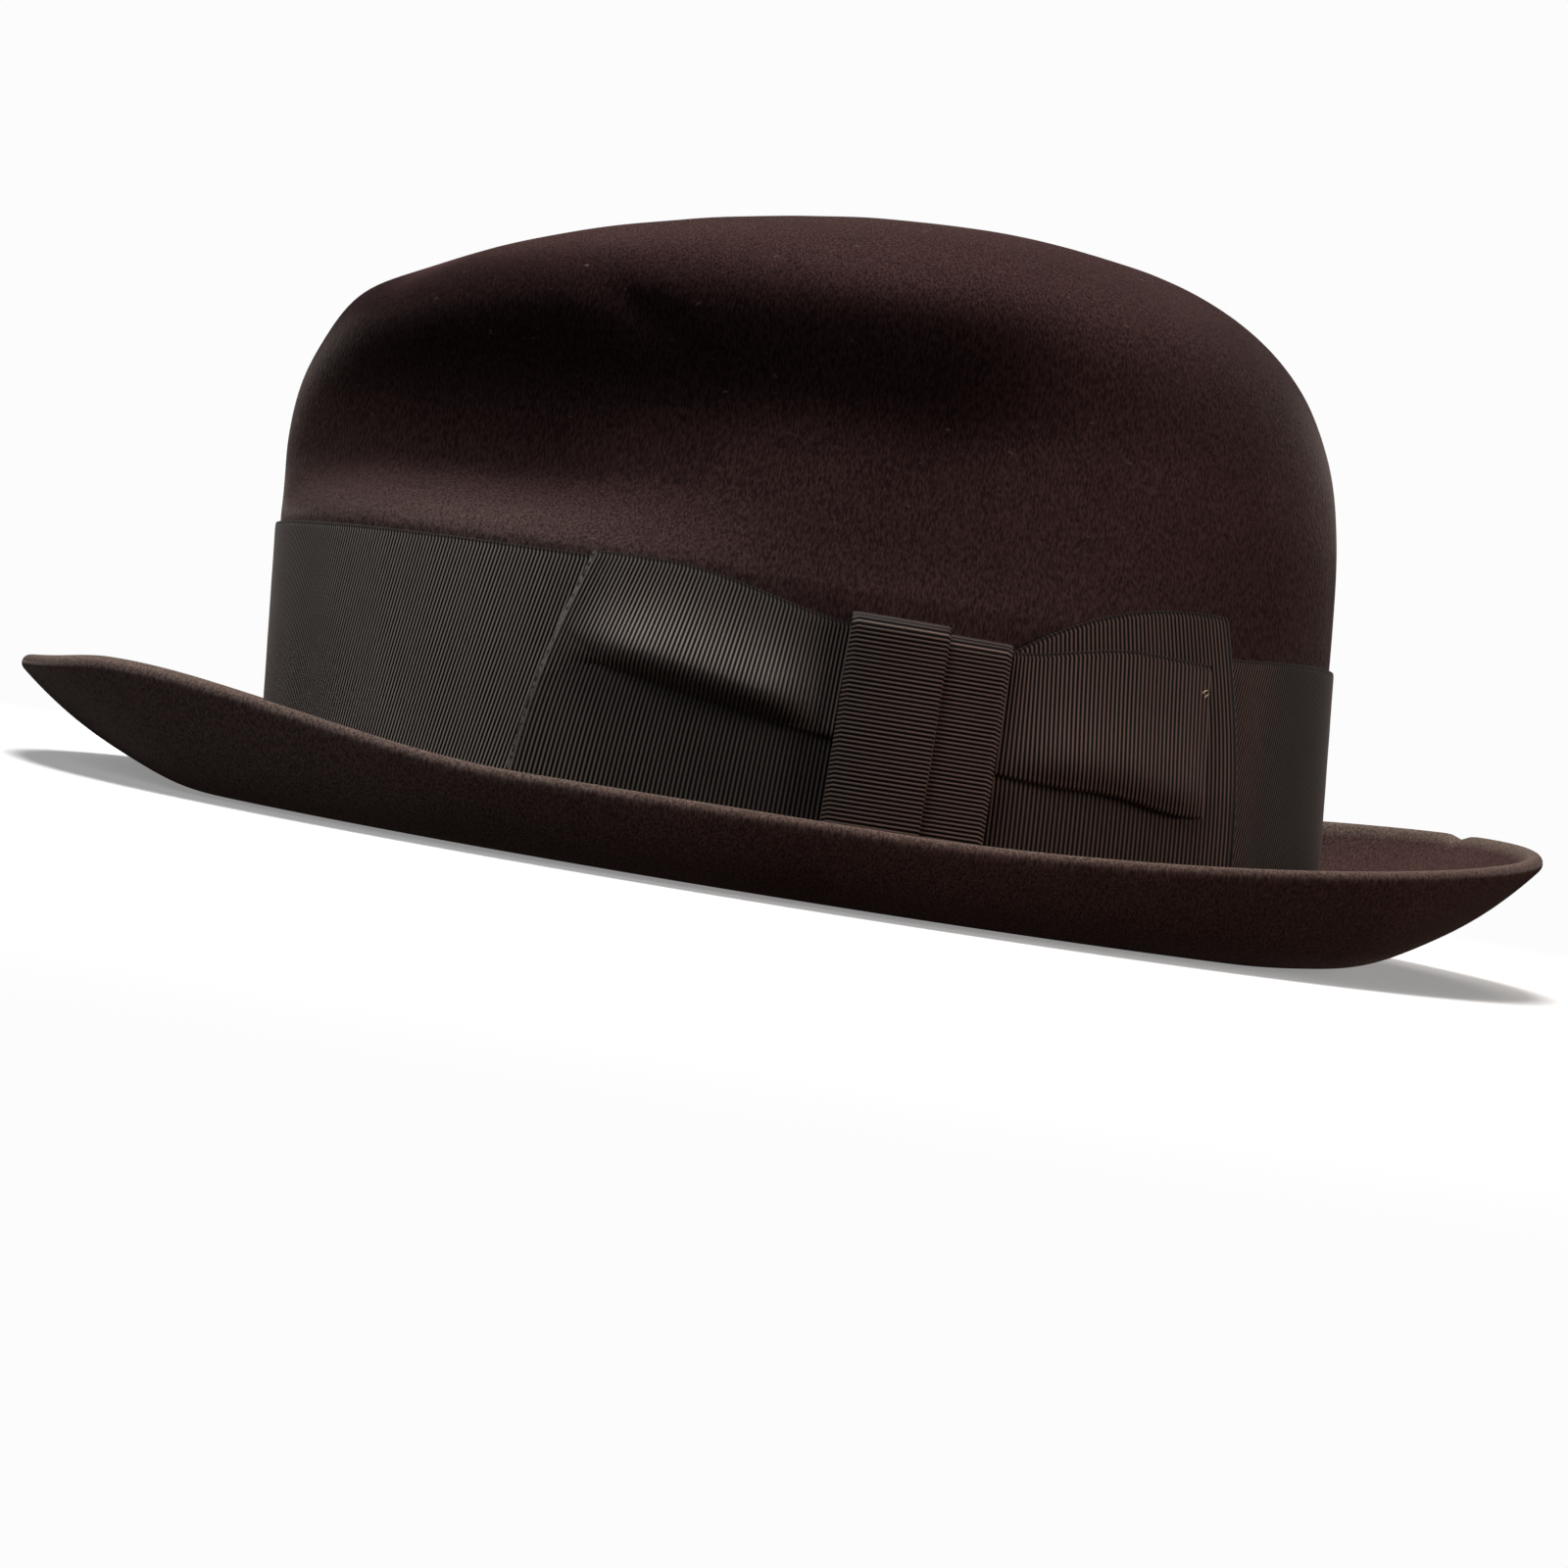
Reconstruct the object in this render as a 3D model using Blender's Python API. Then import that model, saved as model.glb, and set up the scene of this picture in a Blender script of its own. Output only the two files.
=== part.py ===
"""Felt fedora with a ribbon band, a flat side bow, a leather sweatband and a satin lining.

Metres, +Z up. The front of the hat faces -Y, the bow is on the wearer's left at +X, and the
sides of the brim rest on z = 0. The origin is the middle of the brim's oval on that plane.
"""
import math

import bmesh
import bpy
import numpy as np

# Head opening, inside the sweatband
HEAD_LENGTH = 0.200
HEAD_WIDTH = 0.165

# Sheet materials and the clearance between layers that lie on each other
FELT = 0.0020
RIBBON = 0.0005
LEATHER = 0.0011
SATIN = 0.0006
GAP = 0.0004

# Brim: reach past the crown, rim heights above the table, hollow and doubled edge
BRIM_REACH = 0.0429
RIM_SIDE = 0.0136
RIM_FRONT = 0.0203
RIM_REAR = 0.0287
RIM_DIP = 0.0016
RIM_TURN = math.radians(12)
RIM_POWER = 1.6
HOLLOW_REACH = 0.0210
CURL_START = 0.0071
CURL_SIDE = 2.4
CURL_END = 2.1
REST_WIDTH = 0.0080
REST_SNAP = 0.0001
BREAK_RISE = 0.0022
BREAK_RADIUS = 0.0030
REAR_LIFT = 0.0038
WELT = 0.0012
WELT_WIDTH = 0.0090
WELT_STEP = 0.0008

# Where changes around the brim start and end, as sines of the angle from the left side
LIFT_SWEEP = (0.60, 1.00)
ENDS_SWEEP = (0.73, 1.00)
FRONT_SWEEP = (-0.47, -0.90)
DIP_SWEEP = (-0.90, -1.00)
REAR_SWEEP = (-0.05, 1.00)

# Crown: open form, then the lean, the crease on top and the pinch at the sides
SHOULDER = 0.0525
CROWN_HEIGHT = 0.1252
SHOULDER_POWER = 3.75
SIDE_POWER = 8.0
TIP_POWER = 2.4
CROWN_LEAN = 0.090
TIP_SLOPE = 0.135
CROWN_SET = 0.0040
CREASE_DEPTH = 0.0240
CREASE_FRONT = -0.0880
CREASE_REAR = 0.0620
CREASE_RAMP = 0.0450
CREASE_NARROW = 0.0240
CREASE_WIDE = 0.0420
CROWN_TAPER = 0.20
PINCH = 0.14
PINCH_BACK = 0.35
PINCH_FRONT = -0.0650
PINCH_REAR = 0.0050
PINCH_MID = 0.0680
PINCH_HIGH = 0.1140
PINCH_SWEEP = (0.05, 0.45)
RIDGE = 0.080
RIDGE_FRONT = 0.0250
RIDGE_REAR = 0.0750
RIDGE_LOW = 0.0800
RIDGE_HIGH = 0.1060

# Band and bow; places along the hat are Y, the knot and loops are sized on the wall
RIBBON_WIDTH = 0.0452
BAND_DIP = 0.0068
DIP_FRONT = -0.0340
DIP_REAR = 0.0600
KNOT_FRONT = 0.0080
KNOT_REAR = 0.0360
KNOT_DROP = 0.0030
KNOT_ROUND = 0.0020
KNOT_PLEAT = 0.0150
KNOT_OVERLAP = 0.0025
UNDER_KNOT = 0.0040
LOOP_FOLD_TOP = -0.0370
LOOP_FOLD_FOOT = -0.0470
LOOP_FOOT = 0.0015
LOOP_TOP_RISE = 0.0008
KNOT_STEP = 0.0012
PLEAT_AT_KNOT = 0.0235
PLEAT_AT_FOLD = 0.0260
PLEAT_OVERLAP = 0.0080
PLEAT_OPEN = 0.0080
PLEAT_STOP = 0.82
PLEAT_PUFF = 0.0035
PUFF_AT = 0.17
TAIL_TOP_RISE = 0.0080
TAIL_CLEAR = 0.35
TAIL_POWER = 1.3
TAIL_END_TOP = 0.0740
TAIL_END_FOOT = 0.0830
ROLL_TOP_DROP = 0.0010
ROLL_END = 0.0740
ROLL_AT_KNOT = 0.0205
ROLL_AT_END = 0.0265
ROLL_TUCK = 0.0110
ROLL_PUFF = 0.0030

# Sweatband and lining
SWEATBAND_WIDTH = 0.0440
SWEATBAND_SLIT = 0.0008
REED_RADIUS = 0.0010
LINING_TUCK = 0.0080
LINING_EASE = 0.0010
PIPING_RADIUS = 0.0009
INNER_BOW_LENGTH = 0.0300
INNER_BOW_WIDTH = 0.0080
INNER_BOW_WAIST = 0.0045
INNER_BOW_RISE = 0.0100
INNER_KNOT_LENGTH = 0.0050

# Mesh counts
SEGMENTS = 56
DOME_ROWS = 14
TIP_ROW = 7

# Sizes that follow from the ones above
PLY = RIBBON + GAP
FELT_INSIDE = FELT + GAP
LINING_FACE = FELT_INSIDE + LINING_EASE
SWEATBAND_FACE = FELT + GAP + SATIN + 2 * GAP
HALF_LENGTH = HEAD_LENGTH / 2 + LEATHER + SWEATBAND_FACE
HALF_WIDTH = HEAD_WIDTH / 2 + LEATHER + SWEATBAND_FACE
HOLLOW_INNER = HOLLOW_REACH - REST_WIDTH / 2
HOLLOW_OUTER = HOLLOW_REACH + REST_WIDTH / 2
BREAK_TOP = FELT + BREAK_RISE * (1 - BREAK_RADIUS / HOLLOW_INNER) ** 2
BAND_FOOT = BREAK_TOP + BREAK_RADIUS
BAND_TOP = BAND_FOOT + RIBBON_WIDTH
KNOT_TOP = BAND_TOP - KNOT_DROP
BAND_FACE = GAP + RIBBON
BOW_LIFT = BAND_FACE + GAP + RIBBON / 2
LOOP_LIFT = BOW_LIFT + PLY
KNOT_LIFT = LOOP_LIFT + 3 * PLY
SWEATBAND_FOOT = BREAK_TOP + 2 * REED_RADIUS
SWEATBAND_TOP = SWEATBAND_FOOT + SWEATBAND_WIDTH

TURN = np.linspace(0, 2 * math.pi, SEGMENTS, endpoint=False)
REAR_ANGLE = math.pi / 2


def clear_scene():
    for item in list(bpy.data.objects):
        bpy.data.objects.remove(item, do_unlink=True)


def smooth(start, end, value):
    """0 at start, 1 at end and an easy curve between them; start may be the larger one."""
    share = np.clip((np.asarray(value, dtype=float) - start) / (end - start), 0, 1)
    return share * share * (3 - 2 * share)


def rear_lift(angle):
    """How much the brim, the band and the sweatband rise towards the back."""
    return REAR_LIFT * smooth(*LIFT_SWEEP, np.sin(angle))


def crown_centre(height):
    """The crown leans forward, so the middle of its oval moves as it rises."""
    return CROWN_SET - CROWN_LEAN * height


def wall(angle, height, lift):
    """Point on the crown's straight wall, lift metres outside the felt."""
    angle, height, lift = np.broadcast_arrays(angle, height, lift)
    x = (HALF_WIDTH + lift) * np.cos(angle)
    y = (HALF_LENGTH + lift) * np.sin(angle) + crown_centre(height)
    return np.stack((x, y, height), axis=-1)


def on_side(y, height, lift):
    """Point on the left wall at a place along the hat, lift metres outside the felt."""
    y, height, lift = np.broadcast_arrays(y, height, lift)
    angle = np.arcsin((y - crown_centre(height)) / (HALF_LENGTH + lift))
    return wall(angle, height, lift)


def rim_height(angle):
    """Height of the brim's edge: low at the sides, higher in front, highest at the back, and turned."""
    along = np.sin(angle - RIM_TURN)
    front = (RIM_FRONT - RIM_SIDE) * smooth(*FRONT_SWEEP, along) - RIM_DIP * smooth(*DIP_SWEEP, along)
    rear = (RIM_REAR - RIM_SIDE) * np.interp(along, REAR_SWEEP, (0, 1)) ** RIM_POWER
    return RIM_SIDE + front + rear


def brim_row(angle, reach):
    """Upper face of the brim at one distance from the crown's wall."""
    base = FELT + rear_lift(angle)
    ends = smooth(*ENDS_SWEEP, np.abs(np.sin(angle)))
    start = HOLLOW_OUTER + (CURL_START - HOLLOW_OUTER) * ends
    curl = np.maximum(reach - start, 0) / (BRIM_REACH - start)
    curl = curl ** (CURL_SIDE + (CURL_END - CURL_SIDE) * ends)
    dish = max(HOLLOW_INNER - reach, 0) / HOLLOW_INNER
    height = base + (rim_height(angle) - WELT - base) * curl + BREAK_RISE * dish ** 2
    shift = crown_centre(BREAK_TOP) * (1 - reach / BRIM_REACH)
    x = (HALF_WIDTH + reach) * np.cos(angle)
    y = (HALF_LENGTH + reach) * np.sin(angle) + shift
    return np.stack((x, y, height), axis=-1)


def break_row(angle, turn):
    """Fillet between brim and wall; turn runs from 0 on the brim to 90 degrees on the wall."""
    lift = BREAK_RADIUS * (1 - math.sin(turn))
    height = BREAK_TOP + rear_lift(angle) + BREAK_RADIUS * (1 - math.cos(turn))
    return wall(angle, height, lift)


def dome_profile(rows):
    """Shares of radius and height up the open crown, evenly spaced along its curve."""
    fine = np.linspace(0, math.pi / 2, 400)
    radius = np.cos(fine) ** (2 / TIP_POWER)
    rise = np.sin(fine) ** (2 / SHOULDER_POWER)
    steps = np.hypot(np.diff(radius) * HALF_WIDTH, np.diff(rise) * (CROWN_HEIGHT - SHOULDER))
    length = np.concatenate(((0,), np.cumsum(steps)))
    stops = length[-1] * np.arange(1, rows + 1) / (rows + 0.4)
    return np.interp(stops, length, radius), np.interp(stops, length, rise)


def dome_row(angle, radius, rise):
    """Crown above the wall: the open form, tapered at the sides, creased on top and pinched in front."""
    side = (1 - rise ** SIDE_POWER) ** (1 / TIP_POWER)
    y = HALF_LENGTH * radius * np.sin(angle)
    height = SHOULDER + (CROWN_HEIGHT - SHOULDER) * rise
    belt = smooth(SHOULDER, PINCH_MID, height) * smooth(PINCH_HIGH, PINCH_MID, height)
    pinch = PINCH * belt * smooth(PINCH_REAR, PINCH_FRONT, y)
    ridge = RIDGE * smooth(RIDGE_LOW, RIDGE_HIGH, height) * smooth(RIDGE_REAR, RIDGE_FRONT, y)
    x = HALF_WIDTH * side * np.cos(angle) * (1 - CROWN_TAPER * rise - pinch + ridge)
    half = np.interp(y, (CREASE_FRONT, CREASE_REAR), (CREASE_NARROW, CREASE_WIDE))
    along = smooth(CREASE_FRONT, CREASE_FRONT + CREASE_RAMP, y)
    along = along * smooth(CREASE_REAR, CREASE_REAR - CREASE_RAMP, y)
    crease = CREASE_DEPTH * along * (1 - smooth(0, 1, np.abs(x) / half))
    back = PINCH_BACK * pinch * smooth(*PINCH_SWEEP, np.abs(np.cos(angle)))
    z = height + TIP_SLOPE * y * rise - crease
    return np.stack((x, y * (1 - back) + crown_centre(height), z), axis=-1)


def felt_face():
    """Rows of the felt's upper face from the brim's edge to the tip, with the welt's share of each."""
    welt_end = BRIM_REACH - WELT_WIDTH
    plain = welt_end - WELT_STEP
    reaches = list(np.linspace(BRIM_REACH, welt_end, 4))
    reaches += list(np.linspace(plain, HOLLOW_OUTER, 3))
    reaches += list(np.linspace(HOLLOW_INNER, BREAK_RADIUS, 3))
    rows = [brim_row(TURN, reach) for reach in reaches]
    welt = [1.0 if reach >= welt_end else 0.0 for reach in reaches]
    rows += [break_row(TURN, turn) for turn in (math.pi / 4, math.pi / 2)]
    foot = BAND_FOOT + rear_lift(TURN)
    rows += [wall(TURN, foot + (SHOULDER - foot) * share, 0.0) for share in (1 / 3, 2 / 3, 1)]
    radii, rises = dome_profile(DOME_ROWS)
    rows += [dome_row(TURN, radius, rise) for radius, rise in zip(radii, rises)]
    welt += [0.0] * (len(rows) - len(welt))
    return np.array(rows), np.array(welt)


def face_normals(rows):
    """Outward normals of closed rows that run from the brim's edge to the tip."""
    up = np.gradient(rows, axis=0)
    around = np.roll(rows, -1, axis=1) - np.roll(rows, 1, axis=1)
    normal = np.cross(around, up)
    return normal / np.linalg.norm(normal, axis=-1, keepdims=True)


def rim_rows(upper, under, inner):
    """Half round between the two faces of the felt at the brim's edge."""
    middle = (upper + under) / 2
    radial = (upper - under) / 2
    radius = np.linalg.norm(radial, axis=-1, keepdims=True)
    out = upper - inner
    out /= np.linalg.norm(out, axis=-1, keepdims=True)
    turns = np.radians((45, 90, 135))
    return [middle + radial * math.cos(turn) + out * radius * math.sin(turn) for turn in turns]


def finish_mesh(bm, name, material, smooth_angle=35):
    """Stores a mesh as a named object with its material."""
    bmesh.ops.recalc_face_normals(bm, faces=bm.faces[:])
    mesh = bpy.data.meshes.new(name)
    bm.to_mesh(mesh)
    bm.free()
    mesh.materials.append(material)
    mesh.shade_smooth()
    mesh.set_sharp_from_angle(angle=math.radians(smooth_angle))
    item = bpy.data.objects.new(name, mesh)
    bpy.context.collection.objects.link(item)
    return item


def quad_rows(bm, grid, wrap):
    """Quads between rows of points; wrap joins each row's last point to its first."""
    verts = [[bm.verts.new(point) for point in row] for row in grid]
    columns = len(grid[0])
    for low, high in zip(verts, verts[1:]):
        for index in range(columns if wrap else columns - 1):
            after = (index + 1) % columns
            bm.faces.new((low[index], low[after], high[after], high[index]))
    return verts


def closed_shell(name, rows, material):
    """Closed body from rings, with its first and last ring fanned to their middles."""
    bm = bmesh.new()
    verts = quad_rows(bm, rows, wrap=True)
    for ring in (verts[0], verts[-1]):
        middle = bm.verts.new(sum((vert.co for vert in ring[1:]), ring[0].co.copy()) / len(ring))
        for index, vert in enumerate(ring):
            bm.faces.new((vert, ring[(index + 1) % len(ring)], middle))
    return finish_mesh(bm, name, material)


def sheet(name, grid, thickness, material, wrap=False, cap=False, offset=0.0):
    """Sheet of even thickness; offset -1 grows it inwards, 0 both ways and 1 outwards."""
    bm = bmesh.new()
    verts = quad_rows(bm, grid, wrap)
    if cap:
        ring = verts[-1]
        middle = bm.verts.new(sum((vert.co for vert in ring[1:]), ring[0].co.copy()) / len(ring))
        for index, vert in enumerate(ring):
            bm.faces.new((vert, ring[(index + 1) % len(ring)], middle))
    mesh = bpy.data.meshes.new(name)
    bm.to_mesh(mesh)
    bm.free()
    mesh.materials.append(material)
    mesh.shade_smooth()
    item = bpy.data.objects.new(name, mesh)
    bpy.context.collection.objects.link(item)
    solid = item.modifiers.new("thickness", "SOLIDIFY")
    solid.thickness = thickness
    solid.offset = offset
    solid.use_even_offset = True
    return item


def ring_cord(name, points, radius, material):
    """Round cord along a closed ring of points."""
    curve = bpy.data.curves.new(name, "CURVE")
    curve.dimensions = "3D"
    curve.bevel_depth = radius
    curve.bevel_resolution = 1
    spline = curve.splines.new("POLY")
    spline.points.add(len(points) - 1)
    for target, point in zip(spline.points, points):
        target.co = (*point, 1.0)
    spline.use_cyclic_u = True
    curve.materials.append(material)
    item = bpy.data.objects.new(name, curve)
    bpy.context.collection.objects.link(item)
    return item


def material(name, colour, roughness):
    made = bpy.data.materials.new(name)
    made.use_nodes = True
    shader = made.node_tree.nodes["Principled BSDF"]
    shader.inputs["Base Color"].default_value = (*colour, 1.0)
    shader.inputs["Roughness"].default_value = roughness
    shader.inputs["Metallic"].default_value = 0.0
    return made


def make_felt(face, welt, normal, felt):
    """Crown and brim as one blocked felt, doubled along the brim's edge."""
    upper = face + normal * (WELT * welt)[:, None, None]
    under = face - normal * FELT
    under[..., 2] = np.where(under[..., 2] < REST_SNAP, 0.0, under[..., 2])
    rim = rim_rows(upper[0], under[0], upper[1])
    rows = [*upper[::-1], *rim, *under]
    return closed_shell("felt_body", rows, felt)


def make_band(ribbon):
    """Ribbon round the crown, gathered a little lower under the bow."""
    foot = BAND_FOOT + rear_lift(TURN)
    y = HALF_LENGTH * np.sin(TURN)
    dip = BAND_DIP * smooth(DIP_FRONT, KNOT_FRONT, y) * smooth(DIP_REAR, KNOT_REAR, y)
    width = RIBBON_WIDTH - np.where(np.cos(TURN) > 0, dip, 0.0)
    rows = [wall(TURN, foot + width * share, GAP) for share in (0, 0.5, 1)]
    return sheet("hat_band", rows, RIBBON, ribbon, wrap=True, offset=1.0)


def swell(share):
    """Bulge of a soft panel above its lower edge: 1 at PUFF_AT, fading out towards the top."""
    place = np.asarray(share, dtype=float) / PUFF_AT
    return place * np.exp(1 - place)


def pleat_section(width, fold, overlap, step, puff):
    """Heights up the ribbon and lifts of a knife pleat, from the lower edge to the upper edge.

    The upper panel laps over the lower one by overlap; a negative overlap opens the pleat out.
    """
    hidden = fold + overlap / 2
    shown = fold - overlap / 2
    lower = [(hidden * share, 0.0) for share in (0, 0.35, 0.7, 1)]
    if overlap > 0:
        back = [(hidden + step / 2, step / 2), (hidden, step), (shown, step), (shown - step / 2, 1.5 * step)]
    else:
        rise = [(share, float(smooth(0, 1, share))) for share in (0.2, 0.4, 0.6, 0.8)]
        back = [(hidden + (shown - hidden) * share, 2 * step * lift) for share, lift in rise]
    share = np.array((0, 0.12, 0.3, 0.55, 0.8, 1))
    upper = list(zip(shown + (width - shown) * share, step * (2 - share) + puff * swell(share)))
    return np.array(lower + back + upper)


def make_front_loop(ribbon):
    """Front loop: a back ply on the band, a fold, and a front ply with the knife pleat."""
    shares = (1, 0.91, PLEAT_STOP, 0.65, 0.48, 0.30, 0.09, 0)
    knot_end = KNOT_FRONT + UNDER_KNOT
    front, back = [], []
    for share in shares:
        open_out = float(smooth(0.05, 0.95, share))
        dip = (LOOP_TOP_RISE + KNOT_DROP + KNOT_ROUND) * float(smooth(0.75, 0, share))
        width = RIBBON_WIDTH + LOOP_TOP_RISE - dip - LOOP_FOOT
        fold = PLEAT_AT_KNOT + (PLEAT_AT_FOLD - PLEAT_AT_KNOT) * open_out
        overlap = np.interp(share, (0, PLEAT_STOP, 1), (PLEAT_OVERLAP, 0, -PLEAT_OPEN))
        step = PLY * float(smooth(1, PLEAT_STOP, share))
        puff = PLEAT_PUFF * float(smooth(1, 0.6, share) * smooth(0.09, 0.35, share))
        section = pleat_section(width, fold, overlap, step, puff)
        up = section[:, 0]
        end = LOOP_FOLD_FOOT + (LOOP_FOLD_TOP - LOOP_FOLD_FOOT) * up / width
        y = knot_end + (end - knot_end) * share
        height = BAND_FOOT + LOOP_FOOT + up
        front.append(on_side(y, height, LOOP_LIFT + section[:, 1]))
        flat = BAND_FOOT + LOOP_FOOT + np.linspace(0, width, len(up))
        flat_end = LOOP_FOLD_FOOT + (LOOP_FOLD_TOP - LOOP_FOLD_FOOT) * np.linspace(0, 1, len(up))
        back.append(on_side(knot_end + (flat_end - knot_end) * share, flat, BOW_LIFT))
        if share == 1:
            bend = on_side(y - PLY, height, (LOOP_LIFT + BOW_LIFT + section[:, 1]) / 2)
    columns = [*back[::-2], bend, *front]
    grid = np.swapaxes(np.array(columns), 0, 1)
    return sheet("bow_front_loop", grid, RIBBON, ribbon)


def make_tail(ribbon):
    """Rear layer of the bow, flat on the band and standing above it behind the knot."""
    start = KNOT_FRONT + 2 * UNDER_KNOT
    foot = BAND_FOOT + LOOP_FOOT
    share = np.array((0, 0.17, TAIL_CLEAR, 0.43, 0.52, 0.61, 0.7, 0.79, 0.87, 0.94, 1))
    left = 1 - np.maximum(share - TAIL_CLEAR, 0) / (1 - TAIL_CLEAR)
    top = KNOT_TOP - KNOT_ROUND + (KNOT_DROP + KNOT_ROUND + TAIL_TOP_RISE) * (1 - left ** TAIL_POWER)
    grid = []
    for up in np.linspace(0, 1, 7):
        end = TAIL_END_FOOT + (TAIL_END_TOP - TAIL_END_FOOT) * up
        grid.append(on_side(start + (end - start) * share, foot + (top - foot) * up, BOW_LIFT))
    return sheet("bow_tail", grid, RIBBON, ribbon)


def make_rear_loop(ribbon):
    """Loop on the tail whose lower edge rolls under and tucks up behind it."""
    start = KNOT_REAR - UNDER_KNOT
    shares = np.array((0, 0.15, 0.3, 0.5, 0.7, 0.85, 0.94, 1))
    close = smooth(0.85, 1.05, shares)
    y = start + (ROLL_END - start) * shares
    top = KNOT_TOP - KNOT_ROUND + (KNOT_DROP + KNOT_ROUND - ROLL_TOP_DROP) * smooth(0.1, 0.7, shares)
    foot = top - ROLL_AT_KNOT - (ROLL_AT_END - ROLL_AT_KNOT) * smooth(0, 1, shares)
    puff = (PLY + (ROLL_PUFF - PLY) * smooth(0.1, 0.4, shares)) * (1 - 0.7 * close)
    rows = [on_side(y, foot + ROLL_TUCK * share, LOOP_LIFT) for share in (1, 0.5, 0)]
    rows.append(on_side(y, foot - RIBBON, LOOP_LIFT + puff / 2))
    for share in (0, 0.12, 0.3, 0.5, 0.75, 1):
        lift = LOOP_LIFT + puff * (0.6 + 0.4 * swell(share) - 0.3 * share)
        rows.append(on_side(y, foot + (top - foot) * share, lift))
    return sheet("bow_rear_loop", rows, RIBBON, ribbon)


def make_knot(ribbon):
    """Upright wrap over the middle of the bow, with one pleat, turned back to the crown at its top."""
    width = KNOT_REAR - KNOT_FRONT
    shown = KNOT_PLEAT + KNOT_OVERLAP / 2
    hidden = KNOT_PLEAT - KNOT_OVERLAP / 2
    across = [(shown * share, 2 * PLY) for share in (0, 0.3, 0.65, 1)]
    across += [(shown + PLY / 2, 1.5 * PLY), (shown, PLY), (hidden, PLY), (hidden - PLY / 2, PLY / 2)]
    across += [(hidden + (width - hidden) * share, 0.0) for share in (0, 0.35, 0.7, 1)]
    section = np.array(across)
    foot = BAND_FOOT + GAP
    top = KNOT_TOP
    rounds = [(foot, 0.5), (foot + KNOT_ROUND * 0.4, 0.85), (foot + KNOT_ROUND, 1.0)]
    rounds += [(foot + (top - foot) * share, 1.0) for share in (0.35, 0.7)]
    rounds += [(top - KNOT_ROUND, 1.0), (top - KNOT_ROUND * 0.25, 0.85), (top, 0.5), (top, 0.0)]
    on_crown = GAP + RIBBON / 2
    grid = []
    for height, share in rounds:
        lift = on_crown + (KNOT_LIFT - on_crown) * share + section[:, 1] * (0.5 + share / 2)
        drop = KNOT_STEP * (1 - section[:, 1] / (2 * PLY)) * (height - foot) / (top - foot)
        grid.append(on_side(KNOT_FRONT + section[:, 0], height - drop, lift))
    return sheet("bow_knot", grid, RIBBON, ribbon)


def sweatband_depth(height, angle):
    """Depth of the leather's outer face inside the crown; it leans in towards its free upper edge."""
    share = (height - SWEATBAND_FOOT - rear_lift(angle)) / SWEATBAND_WIDTH
    return FELT_INSIDE + (SWEATBAND_FACE - FELT_INSIDE) * share


def make_sweatband(leather, reed):
    """Leather band inside the crown, open at the rear seam, with a reed along its lower edge."""
    slit = SWEATBAND_SLIT / HALF_LENGTH
    angle = np.linspace(REAR_ANGLE + slit, REAR_ANGLE + 2 * math.pi - slit, SEGMENTS + 1)
    rows = []
    for share in (0, 0.35, 0.7, 1):
        height = SWEATBAND_FOOT + rear_lift(angle) + SWEATBAND_WIDTH * share
        rows.append(wall(angle, height, -sweatband_depth(height, angle)))
    sheet("sweatband", rows, LEATHER, leather, offset=-1.0)
    level = SWEATBAND_FOOT - GAP - REED_RADIUS + rear_lift(TURN)
    ring = wall(TURN, level, -FELT_INSIDE - GAP - REED_RADIUS)
    ring_cord("sweatband_reed", ring, REED_RADIUS, reed)


def inner_bow_rows(along, tall, depth):
    """Rows across a strip at the rear seam, depth metres inside the leather's outer face."""
    angle = REAR_ANGLE + along / HALF_WIDTH
    rows = []
    for up in (-0.5, 0, 0.5):
        height = SWEATBAND_FOOT + rear_lift(angle) + INNER_BOW_RISE + tall * up
        rows.append(wall(angle, height, -sweatband_depth(height, angle) - depth))
    return rows


def make_inner_bow(ribbon):
    """Small flat bow and its wrap on the sweatband's rear seam."""
    share = np.linspace(-1, 1, 13)
    spread = INNER_BOW_WAIST + (INNER_BOW_WIDTH - INNER_BOW_WAIST) * smooth(0.1, 0.8, np.abs(share))
    rows = inner_bow_rows(share * INNER_BOW_LENGTH / 2, spread, LEATHER + GAP)
    sheet("sweatband_bow", rows, RIBBON, ribbon, offset=-1.0)
    share = np.linspace(-1, 1, 5)
    tall = INNER_BOW_WAIST + 2 * RIBBON
    rows = inner_bow_rows(share * INNER_KNOT_LENGTH / 2, tall, LEATHER + GAP + PLY)
    sheet("sweatband_bow_knot", rows, RIBBON, ribbon, offset=-1.0)


def make_lining(face, normal, satin):
    """Satin side and tip, lapped at the shoulder, with a piping cord along the lap."""
    dome = len(face) - DOME_ROWS
    hem = SWEATBAND_TOP - LINING_TUCK + rear_lift(TURN)
    rows = [wall(TURN, hem + rise, -FELT_INSIDE) for rise in (0, LINING_TUCK + LINING_EASE)]
    rows += list(face[dome:dome + TIP_ROW + 1] - normal[dome:dome + TIP_ROW + 1] * LINING_FACE)
    sheet("lining_side", rows, SATIN, satin, wrap=True, offset=-1.0)
    lap = LINING_FACE + SATIN + GAP
    tip = face[dome + TIP_ROW:] - normal[dome + TIP_ROW:] * lap
    sheet("lining_tip", list(tip), SATIN, satin, wrap=True, cap=True, offset=-1.0)
    below = dome + TIP_ROW - 1
    seam = face[below] - normal[below] * (lap + PIPING_RADIUS)
    ring_cord("lining_piping", seam, PIPING_RADIUS, satin)


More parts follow.
